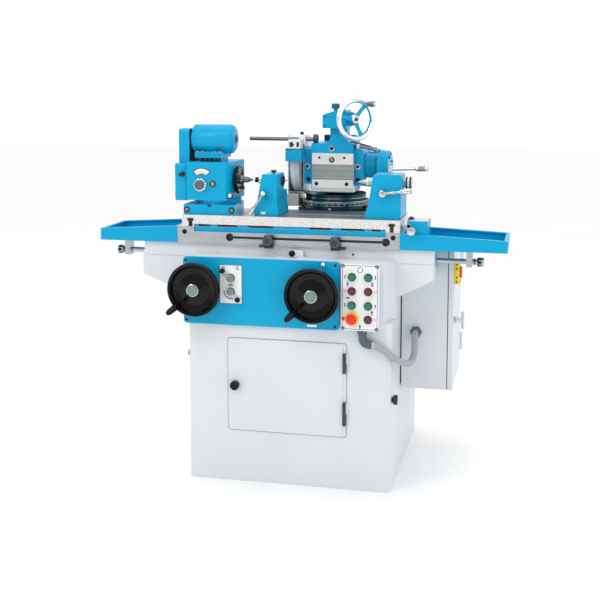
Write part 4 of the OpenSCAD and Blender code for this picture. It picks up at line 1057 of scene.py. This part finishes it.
def wheelhead_details():
    """Bolts, slotted plate, oil line, gear head, dresser and guard."""
    head = "wheelhead"
    front = -0.0201
    hex_socket_screw("head_top_bolt", (0.091, front, 1.255), FRONT, 0.015, 0.009, head, dark_iron, 0.023)
    front_screws("flange_bolt", FLANGE_FRONT, ((-0.010, 1.182), (0.195, 1.183)), 0.013, 0.008, head,
                 dark_iron, 0.022)
    front_screws("flange_plug", FLANGE_FRONT, ((-0.007, 1.130), (0.195, 1.130)), 0.017, 0.007, head,
                 black_satin)
    # Slotted plate: ring bolt, dots, dark slots and the machined band in the middle
    y = -0.0501
    hex_socket_screw("plate_bolt", (0.097, y, 1.212), FRONT, 0.012, 0.0035, head, bright_turned)
    ring("plate_bolt_ring", (0.097, y, 1.212), FRONT, 0.0125, 0.0225, 0.0022, black_satin, head)
    for i, x in enumerate((0.046, 0.147)):
        lathe(f"plate_hole_{i}", [(0.0049, 0), (0.0049, 0.0003), (0, 0.0004)], (x, y + 0.0006, 1.220),
              FRONT, black_satin, head, 24)
    shape_plate("plate_band", [(-0.0822, 1.133), (0.0822, 1.133), (0.0822, 1.139), (-0.0822, 1.139)],
                0.0003, on_front(0.0995, y, 0), mid_iron, head)
    for i, z in enumerate((1.148, 1.168, 1.188)):
        shape_plate(f"plate_rib_{i}", [(-0.0822, z), (0.0822, z),
                                       (0.0822, z + 0.0118 if i < 2 else z + 0.006),
                                       (-0.0822, z + 0.0118 if i < 2 else z + 0.006)],
                    0.0003, on_front(0.0995, y, 0), rib_steel, head)
        block(f"plate_slot_{i}", (0.0173, -0.0472, z - 0.0082), (0.1817, -0.0402, z + 0.0002), rib_steel,
              head, 0.0001)
    for i, x in enumerate((0.035, 0.157)):
        hex_socket_screw(f"plate_low_bolt_{i}", (x, y, 1.1165), FRONT, 0.015, 0.0035, head, dark_iron)
    # Painted shade: a black sheet in the gap below the slotted plate
    block("plate_gap_shade", (0.0175, -0.0398, 1.0992), (0.1815, -0.0202, 1.1005), black_satin, head, 0.0002)
    block("plate_strip", (0.0140, -0.0412, 1.0850), (0.1850, -0.0401, 1.0965), bright_turned, head, 0.0006)
    block("strip_under", (0.0142, -0.0230, 1.0790), (0.1848, -0.0202, 1.0838), paint_blue, head, 0.0006)
    # Spindle cylinder: joint line and end-cover bolts
    ring("cylinder_seam", spindle_at(0.2150), RIGHT, 0.0958, 0.0972, 0.0014, rubber, head, 72)
    ring("cover_seam_right", spindle_at(0.2642), RIGHT, 0.0958, 0.1020, 0.0017, rubber, head, 72)
    for i, a in enumerate((148, 172, 196, 220)):
        t = math.radians(a)
        at = (0.2655, SPINDLE_Y + 0.056 * math.cos(t), SPINDLE_Z + 0.056 * math.sin(t))
        hex_socket_screw(f"cover_bolt_{i}", at, LEFT, 0.0095, 0.006, head, dark_iron)
    lathe("cap_plug", [(0.0075, 0), (0.0075, 0.002), (0.005, 0.003), (0, 0.003)], (0.3111, 0.058, 1.219),
          RIGHT, black_satin, head, 24)
    for k in range(6):
        t = 2 * math.pi * k / 6 + 0.3
        at = (0.3111, SPINDLE_Y + 0.050 * math.cos(t), SPINDLE_Z + 0.050 * math.sin(t))
        hex_socket_screw(f"cap_bolt_{k}", at, RIGHT, 0.008, 0.005, head, dark_iron)
    # Oil line over the shoulder
    tube("oil_line", catmull([(0.160, 0.030, 1.2775), (0.185, 0.040, 1.2735), (0.225, 0.050, 1.262),
                              (0.262, 0.058, 1.2485), (0.272, 0.060, 1.2445)], 6),
         0.0042, dark_iron, head, 16)
    # Gear head: knurled top knob, cover screws, side plug
    knurled_knob("gear_top_knob", (0.104, -0.010, 1.4128), UP, 0.0325, 0.0212, head, black_satin, 24, 0.06)
    lathe("gear_side_plug", [(0.009, 0), (0.009, 0.003), (0.006, 0.005), (0, 0.005)],
          (0.1285, GEAR_FRONT, 1.372), FRONT, mid_iron, head, 28)
    front_screws("gear_screw", GEAR_FRONT, ((0.069, 1.347), (0.146, 1.347), (0.146, 1.399), (0.072, 1.383)),
                 0.0085, 0.005, head, paint_blue)
    ring("gear_flange", (0.1600, -0.0183, 1.373), (0.643, -0.766, 0), 0.0205, 0.054, 0.0050, paint_blue,
         head)
    # Dresser block
    block("dresser_mark_0", (-0.072, -0.0628, 1.262), (-0.0575, -0.0621, 1.281), black_satin, head, 0.001)
    block("dresser_mark_1", (-0.044, -0.0628, 1.262), (-0.0335, -0.0621, 1.281), black_satin, head, 0.001)
    block("dresser_bridge", (-0.061, -0.0628, 1.2675), (-0.054, -0.0619, 1.2740), black_satin, head, 0.001)
    block("dresser_face", (-0.0793, -0.0623, 1.2527), (-0.0267, -0.0177, 1.2903), paint_white, head, 0.0015)
    block("dresser_box", (-0.0874, -0.0704, 1.2046), (-0.0226, -0.0296, 1.2530), paint_blue, head, 0.0015)
    block("dresser_lip", (-0.0885, -0.0712, 1.2510), (-0.0215, -0.0290, 1.2545), dark_iron, head, 0.001)
    block("slider_face", (-0.0463, -0.0143, 1.2697), (-0.0177, 0.0053, 1.3083), paint_white, head, 0.0015)
    lathe("slider_knob", [(0.0066, 0), (0.0078, 0.002), (0.0078, 0.008), (0.006, 0.0098), (0, 0.010)],
          (-0.035, 0, 1.3100), UP, black_satin, head, 28)
    ring("rod_collar", (0.0138, 0, 1.292), RIGHT, 0.0164, 0.0368, 0.0165, dark_iron, head)
    lathe("rod_end", [(0.0081, 0), (0.0081, 0.003), (0.006, 0.005), (0, 0.005)], (-0.2468, 0, 1.290), LEFT,
          dark_iron, head, 28)
    # Wheel guard: rolled outer lip and clamp screws
    lip = [(SPINDLE_Y + 0.1205 * math.cos(math.radians(a)),
            SPINDLE_Z + 0.1205 * math.sin(math.radians(a))) for a in range(-62, 122, 4)]
    for i, x in enumerate((-0.1035, -0.0290)):
        tube(f"guard_lip_{i}", [(x, y, z) for y, z in lip], 0.0018, bright_turned, head, 12)
    for i, a in enumerate((60, 20, -20)):
        t = math.radians(a)
        hex_socket_screw(f"guard_screw_{i}", (-0.1041, SPINDLE_Y + 0.098 * math.cos(t),
                                              SPINDLE_Z + 0.098 * math.sin(t)), LEFT, 0.010, 0.005, head,
                         dark_iron)
    block("tray_front", (-0.1004, -0.0127, 1.0196), (-0.0466, -0.0119, 1.0665), tray_paint, head, 0.0003)
    block("tray_lip", (-0.1005, -0.0130, 1.0665), (-0.0468, -0.0118, 1.0695), paint_white, head, 0.0004)
    block("tray_grit", (-0.0970, -0.0090, 1.0230), (-0.0500, 0.1090, 1.0262), grit, head, 0.001)


def turntable_details():
    """Graduations and rings of the turntable and the cross slide."""
    body = "wheelhead_turntable"
    cx, cy = 0.090, 0.080
    scale_ring("turntable_lines", (cx, cy, 0), 0.1350, 1.0290, 1.0415, body, -165, -15, 75,
               material=plate_white)
    ring("turntable_edge", (cx, cy, 1.0418), UP, 0.2696, 0.2710, 0.0022, bright_turned, body, 96)
    ring("turntable_top_edge", (cx, cy, 1.0546), UP, 0.2456, 0.2472, 0.0018, bright_turned, body, 96)
    ring("turntable_low_edge", (cx, cy, 1.0262), UP, 0.2698, 0.2708, 0.0014, bright_turned, body, 96)
    # Painted shade: dark teal bands on the turntable and on the cross slide's disc, under the wheelhead
    ring("turntable_band", (cx, cy, 1.0185), UP, 0.2698, 0.2712, 0.0070, shaded_teal, body, 96)
    ring("turntable_upper", (cx, cy, 1.0445), UP, 0.2458, 0.2474, 0.0080, shaded_teal, body, 96)
    ring("turntable_top", (cx, cy, 1.0600), UP, 0.2458, 0.2474, 0.0098, shaded_teal, body, 96)
    ring("slide_disc", (cx, cy, 1.0128), UP, 0.2678, 0.2694, 0.0050, shaded_teal, "cross_slide_body", 96)
    block("zero_mark", (cx - 0.0040, cy - 0.1362, 1.0132), (cx + 0.0040, cy - 0.1349, 1.0178), plate_white,
          "cross_slide_body", 0.0004)
    for i, (x, y) in enumerate(((-0.045, 0.285), (0.225, 0.285), (-0.045, 0.035), (0.225, 0.035))):
        hex_socket_screw(f"slide_bolt_{i}", (x, y, 1.0129), UP, 0.014, 0.010, "cross_slide_body", dark_iron,
                         0.022)


def wheel_details():
    """Blotter, nut, flange and bands of the grinding wheel, with black lines of painted shade at its two
    edges.
    """
    body = "grinding_spindle"
    ring("wheel_blotter", spindle_at(-0.0800), LEFT, 0.060, 0.096, 0.0008, paint_blue, body)
    hex_nut("wheel_nut", spindle_at(-0.0980), LEFT, 0.034, 0.012, black_satin, body)
    lathe("wheel_flange", [(0.0322, 0), (0.0322, 0.014), (0.028, 0.0165), (0.017, 0.0168)],
          spindle_at(-0.0812), LEFT, dark_iron, body)
    ring("wheel_band", spindle_at(-0.0720), RIGHT, 0.2196, 0.2204, 0.0120, plate_white, body, 96)
    # Painted shade: thin black rings at both edges of the wheel's face
    ring("wheel_right_edge_shade", spindle_at(-0.0400), RIGHT, 0.2196, 0.2206, 0.0018, black_satin, body, 96)
    ring("wheel_left_edge_shade", spindle_at(-0.0782), LEFT, 0.2196, 0.2206, 0.0016, black_satin, body, 96)


def elevation_wheel():
    """Bright rim, blue spokes and inner band, chrome hub, and the turned handle."""
    body = "elevation_handwheel_body"
    turn = math.radians(40)
    axis = Vector((math.sin(turn), -math.cos(turn), 0))
    centre = Vector((0.195, -0.060, 1.373))
    across_wheel = Vector((math.cos(turn), math.sin(turn), 0))
    radius = 0.0765

    def point(angle, r, out):
        """A point at an angle and a radius, moved out along the wheel's axis."""
        a = math.radians(angle)
        return centre + (across_wheel * math.cos(a) + UP * math.sin(a)) * r + axis * out

    bm = bmesh.new()
    count, sides = 96, 20
    rows = []
    for k in range(count):
        angle = 360 * k / count
        row = []
        for j in range(sides):
            t = 2 * math.pi * j / sides
            row.append(bm.verts.new(point(angle, radius + 0.0102 * math.cos(t), 0.0088 * math.sin(t))))
        rows.append(row)
    for a, b in zip(rows, rows[1:] + rows[:1]):
        for j in range(sides):
            bm.faces.new((a[j], a[(j + 1) % sides], b[(j + 1) % sides], b[j]))
    rim = finish_piece("elevation_rim", bm, chrome_white, body, smooth=60)
    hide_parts("elevation_handwheel")
    ring("elevation_band", centre - axis * 0.0070, axis, 0.1300, 0.1370, 0.0110, paint_blue, body, 96)
    for i, angle in enumerate((52, 172, 292)):
        bm = bmesh.new()
        sections = []
        for r, w, t, out in ((0.010, 0.012, 0.0055, -0.010), (0.024, 0.0092, 0.0050, -0.010),
                             (0.045, 0.0078, 0.0046, -0.0075), (0.0665, 0.0098, 0.0046, -0.0030)):
            side = (UP * math.cos(math.radians(angle)) - across_wheel * math.sin(math.radians(angle)))
            c = point(angle, r, out)
            sections.append([bm.verts.new(c + side * w * math.cos(q) + axis * t * math.sin(q))
                             for q in (2 * math.pi * n / 16 for n in range(16))])
        for a, b in zip(sections, sections[1:]):
            for n in range(16):
                bm.faces.new((a[n], a[(n + 1) % 16], b[(n + 1) % 16], b[n]))
        bm.faces.new(sections[0])
        bm.faces.new(sections[-1][::-1])
        finish_piece(f"elevation_spoke_{i}", bm, paint_blue, body, smooth=60)
    lathe("elevation_hub", [(0.009, -0.050), (0.015, -0.048), (0.0172, -0.0375), (0.0172, -0.004),
                            (0.0155, 0.0), (0.0085, 0.001), (0.0085, -0.002), (0, -0.002)],
          centre, axis, chrome, body)
    lathe("elevation_hub_screw", [(0.0072, -0.0019), (0.0072, 0.0006), (0.005, 0.0016), (0, 0.0016)],
          centre, axis, dark_iron, body, 24)
    lathe("elevation_shaft", [(0.0089, -0.088), (0.0089, -0.037)], centre, axis, bright_turned, body, 28)
    root = point(52, radius, 0.0)
    lathe("elevation_handle", [(0.005, 0.0), (0.0052, 0.012), (0.0088, 0.014), (0.0102, 0.022),
                               (0.0118, 0.040), (0.0112, 0.056), (0.0085, 0.066), (0.0072, 0.068)],
          root, axis, mid_iron, body, 40)
    lathe("elevation_handle_end", [(0.0072, 0.0676), (0.0062, 0.0690), (0, 0.0692)], root, axis,
          plate_white, body, 32)


def clamp_details():
    """Knob and grip of the wheelhead clamp."""
    body = "head_clamp_lever_body"
    lathe("clamp_knob", [(0.0114, 0), (0.0120, 0.004), (0.0120, 0.016), (0.0095, 0.0205), (0, 0.021)],
          (0.190, 0.010, 1.2524), UP, bright_turned, body, 36)
    turn = Matrix.Rotation(math.radians(-20), 3, "Z") @ Matrix.Rotation(math.radians(8), 3, "Y")
    arm = turn @ RIGHT
    start = Vector((0.190, 0.010, 1.265))
    tapered_arm("clamp_arm", start + arm * 0.008, start + arm * 0.094, 0.012, 0.0105, body, mid_iron, 0.030,
                0.0185)


def back_details():
    """Rear access panel with louvres, and the fittings of both motors and the belt cover."""
    back = Matrix.Translation((0, 0.4001, 0.330)) @ Matrix(((-1, 0, 0, 0), (0, 0, 1, 0), (0, 1, 0, 0),
                                                            (0, 0, 0, 1)))
    o = shape_plate("rear_panel", round_outline(0.56, 0.44, 0.012), 0.0020, back, paint_grey, "base")
    soften(o, 0.0008)
    bm = bmesh.new()
    ring_plate(bm, round_outline(0.566, 0.446, 0.014), round_outline(0.560, 0.440, 0.012), 0.0006, back)
    finish_piece("rear_panel_seal", bm, rubber, "base")
    for i, (x, z) in enumerate(((-0.26, 0.13), (0.26, 0.13), (-0.26, 0.33), (0.26, 0.33), (-0.26, 0.53),
                                (0.26, 0.53))):
        hex_socket_screw(f"rear_screw_{i}", (x, REAR_FACE, z), BACK, 0.013, 0.006, "base", dark_iron, 0.022)
    bm = bmesh.new()
    dark = bmesh.new()
    for column in (-0.12, 0.12):
        for row in range(9):
            z = 0.215 + row * 0.026
            outline = [(REAR_FACE, z), (0.4062, z + 0.003), (REAR_FACE, z + 0.014)]
            low = [bm.verts.new((column - 0.08, y, h)) for y, h in outline]
            high = [bm.verts.new((column + 0.08, y, h)) for y, h in outline]
            bm.faces.new(low)
            bm.faces.new(high[::-1])
            for k in range(3):
                bm.faces.new((low[k], high[k], high[(k + 1) % 3], low[(k + 1) % 3]))
            add_box(dark, (column - 0.076, REAR_FACE, z - 0.0035), (column + 0.076, 0.4024, z - 0.0003))
    finish_piece("rear_louvres", bm, paint_grey, "base", smooth=20)
    # Painted shade: black boxes in the openings under the louvres
    finish_piece("rear_louvre_shade", dark, rubber, "base")
    head = "wheelhead"
    motor = (0.300, 1.150)
    block("motor_terminal_box", (0.125, 0.268, 1.2175), (0.195, 0.332, 1.246), paint_blue, head, 0.003)
    for i, (x, y) in enumerate(((0.132, 0.275), (0.188, 0.275), (0.132, 0.325), (0.188, 0.325))):
        hex_socket_screw(f"terminal_screw_{i}", (x, y, 1.246), UP, 0.006, 0.003, head, dark_iron)
    for i, x in enumerate((0.082, 0.248)):
        ring(f"wheel_motor_seam_{i}", (x, *motor), RIGHT, 0.1396, 0.1412, 0.0024, rubber, head, 72)
    bm = bmesh.new()
    for k in range(20):
        a = 2 * math.pi * k / 20
        turn = Matrix.Translation((0, *motor)) @ Matrix.Rotation(a, 4, "X")
        outline = [(0.092, 0.0692), (0.240, 0.0692), (0.240, 0.0735), (0.092, 0.0735)]
        add_prism(bm, outline, 0.0018, turn @ Matrix(((1, 0, 0, 0), (0, 0, 1, -0.0009), (0, 1, 0, 0),
                                                      (0, 0, 0, 1))))
    finish_piece("wheel_motor_fins", bm, paint_blue, head, smooth=20)
    for k in range(10):
        a = 2 * math.pi * k / 10
        at = (0.0668, motor[0] + 0.036 * math.cos(a), motor[1] + 0.036 * math.sin(a))
        lathe(f"fan_hole_{k}", [(0.0055, 0), (0.0055, 0.0004), (0, 0.0005)], at, LEFT, black_satin, head,
              20)
    for i, (y, z) in enumerate(((-0.276, 1.083), (-0.124, 1.083), (-0.276, 1.172), (-0.124, 1.172))):
        hex_socket_screw(f"cover_side_screw_{i}", (COVER_SIDE, y, z), LEFT, 0.010, 0.005, "workhead",
                         dark_iron)
    hex_socket_screw("cover_top_screw", (-0.4661, -0.200, 1.318), LEFT, 0.010, 0.005, "workhead", dark_iron)


def panel_graphics():
    """White face of the control box."""
    plate("box_face_plate", 0.277, BOX_FACE, 0.7405, 0.1375, 0.2440, 0.0003, 0.004, plate_white, "base")


rib_steel = metal("rib_steel", (0.36, 0.41, 0.40), 0.4, (0.05, 1, 3), 200, 0.2)
# Painted shade: a dark teal for the parts under the wheelhead (cross slide, swivel, turntable bands), where
# shade falls
shaded_teal = metal("shaded_teal", (0.035, 0.075, 0.09), 0.34, (0.2, 0.2, 2), 160, 0.3, 0.06)
chrome_white = metal("chrome_rim", (0.92, 0.92, 0.93), 0.16, (1, 1, 1), 90, 0.04, 0.01)
tray_paint = paint("tray_paint", (0.44, 0.46, 0.38), 0.5, spread=0.2)
grit = abrasive("tray_grit", (0.34, 0.33, 0.24))

conduit()
base_details()
valve_details()
handwheel_details("table_handwheel", "table_handwheel_body", -0.344, 0.750)
handwheel_details("cross_handwheel", "cross_handwheel_body", 0.105, 0.746)
panel_graphics()
control_box_details()
cabinet_details()
table_details()
dog_details()
adjuster_details()
rod_details()
workhead_details()
work_spindle_pieces()
tailstock_details()
wheelhead_details()
turntable_details()
wheel_details()
elevation_wheel()
clamp_details()
back_details()

# Small rounded edges on the carried-over nodes
BEVELS = {
    "base_casting": 0.004, "workhead_base": 0.0025, "workhead_body": 0.003, "pulley_cover": 0.003,
    "work_motor": 0.002,
    "left_tailstock": 0.0025, "right_tailstock": 0.0025, "wheelhead_housing": 0.002, "wheel_motor": 0.002,
    "belt_housing": 0.003, "upper_table": 0.0008, "lower_table": 0.0008, "slotted_plate": 0.0007,
    "control_box": 0.0015, "electrical_cabinet": 0.0025, "cabinet_door": 0.0025, "front_panel": 0.002,
    "base_door": 0.001, "left_tray": 0.0012, "right_tray": 0.0012, "cross_slide": 0.002,
}
NODES["guard_rod"].data.materials[0] = rod_steel
# Painted shade: the cross slide and the swivel in dark teal, under the wheelhead
NODES["cross_slide"].data.materials[0] = shaded_teal
NODES["wheelhead_swivel"].data.materials[0] = shaded_teal
for node_name, width in BEVELS.items():
    soften(NODES[node_name], width, 2, 40)

# ---------------------------------------------------------------- camera, light, floor


def camera():
    """Looks at the machine from its front right, a little from above."""
    data = bpy.data.cameras.new("camera")
    cam = bpy.data.objects.new("camera", data)
    bpy.context.scene.collection.objects.link(cam)
    data.lens = 63.85
    data.sensor_width = 36
    data.shift_y = -0.15
    yaw, pitch = math.radians(12.81), math.radians(6.91)
    cam.rotation_euler = (math.radians(90) - pitch, 0, yaw)
    cam.location = (0.9074, -4.1816, 1.5219)
    data.clip_start, data.clip_end = 0.05, 100
    bpy.context.scene.camera = cam
    bpy.context.scene.view_settings.view_transform = "Standard"


def area_light(name, at, target, size, power, color=(1, 1, 1)):
    """A soft lamp aimed at a target."""
    data = bpy.data.lights.new(name, "AREA")
    data.shape = "RECTANGLE"
    data.size, data.size_y = size
    data.energy = power
    data.color = color
    lamp = bpy.data.objects.new(name, data)
    bpy.context.scene.collection.objects.link(lamp)
    lamp.location = at
    lamp.rotation_euler = (Vector(target) - Vector(at)).to_track_quat("-Z", "Y").to_euler()


def studio():
    """White floor, a backdrop that is dimmer in front, and soft lamps."""
    floor_mat, nt, shader = principled("floor_white", (0.97, 0.97, 0.97), 0.6)
    where = coords(nt)
    tone = ramp(nt, noise(nt, where, 2.0), [(0.3, grey(0.965)), (0.7, grey(0.985))])
    nt.links.new(tone, shader.inputs["Base Color"])
    bpy.ops.mesh.primitive_plane_add(size=40, location=(0, 0, 0))
    floor = bpy.context.object
    floor.name = "floor"
    floor.data.materials.append(floor_mat)
    world = bpy.data.worlds.new("studio")
    world.use_nodes = True
    # White behind the machine and above it, dimmer on the operator's side, so that bright metal has contrast
    tree = world.node_tree
    direction = tree.nodes.new("ShaderNodeTexCoord")
    split = tree.nodes.new("ShaderNodeSeparateXYZ")
    tree.links.new(direction.outputs["Generated"], split.inputs["Vector"])
    scaled = tree.nodes.new("ShaderNodeMath")
    scaled.operation = "MULTIPLY_ADD"
    scaled.inputs[1].default_value = 0.5
    scaled.inputs[2].default_value = 0.5
    tree.links.new(split.outputs["Y"], scaled.inputs[0])
    backdrop = ramp(tree, scaled.outputs["Value"], [(0.1, grey(0.50)), (0.58, grey(1.0))])
    tree.links.new(backdrop, tree.nodes["Background"].inputs["Color"])
    tree.nodes["Background"].inputs["Strength"].default_value = 1.14
    bpy.context.scene.world = world
    area_light("key", (-2.6, -3.6, 3.6), (0, 0, 0.8), (2.0, 2.0), 42)
    area_light("fill", (3.2, -3.0, 2.2), (0, 0, 0.9), (2.5, 2.5), 22)
    area_light("top", (0, 0.3, 4.2), (0, 0, 1.0), (3.0, 2.0), 18)
    area_light("strip", (-0.4, -2.2, 3.4), (-0.2, -0.1, 1.2), (2.6, 0.25), 16)


camera()
studio()
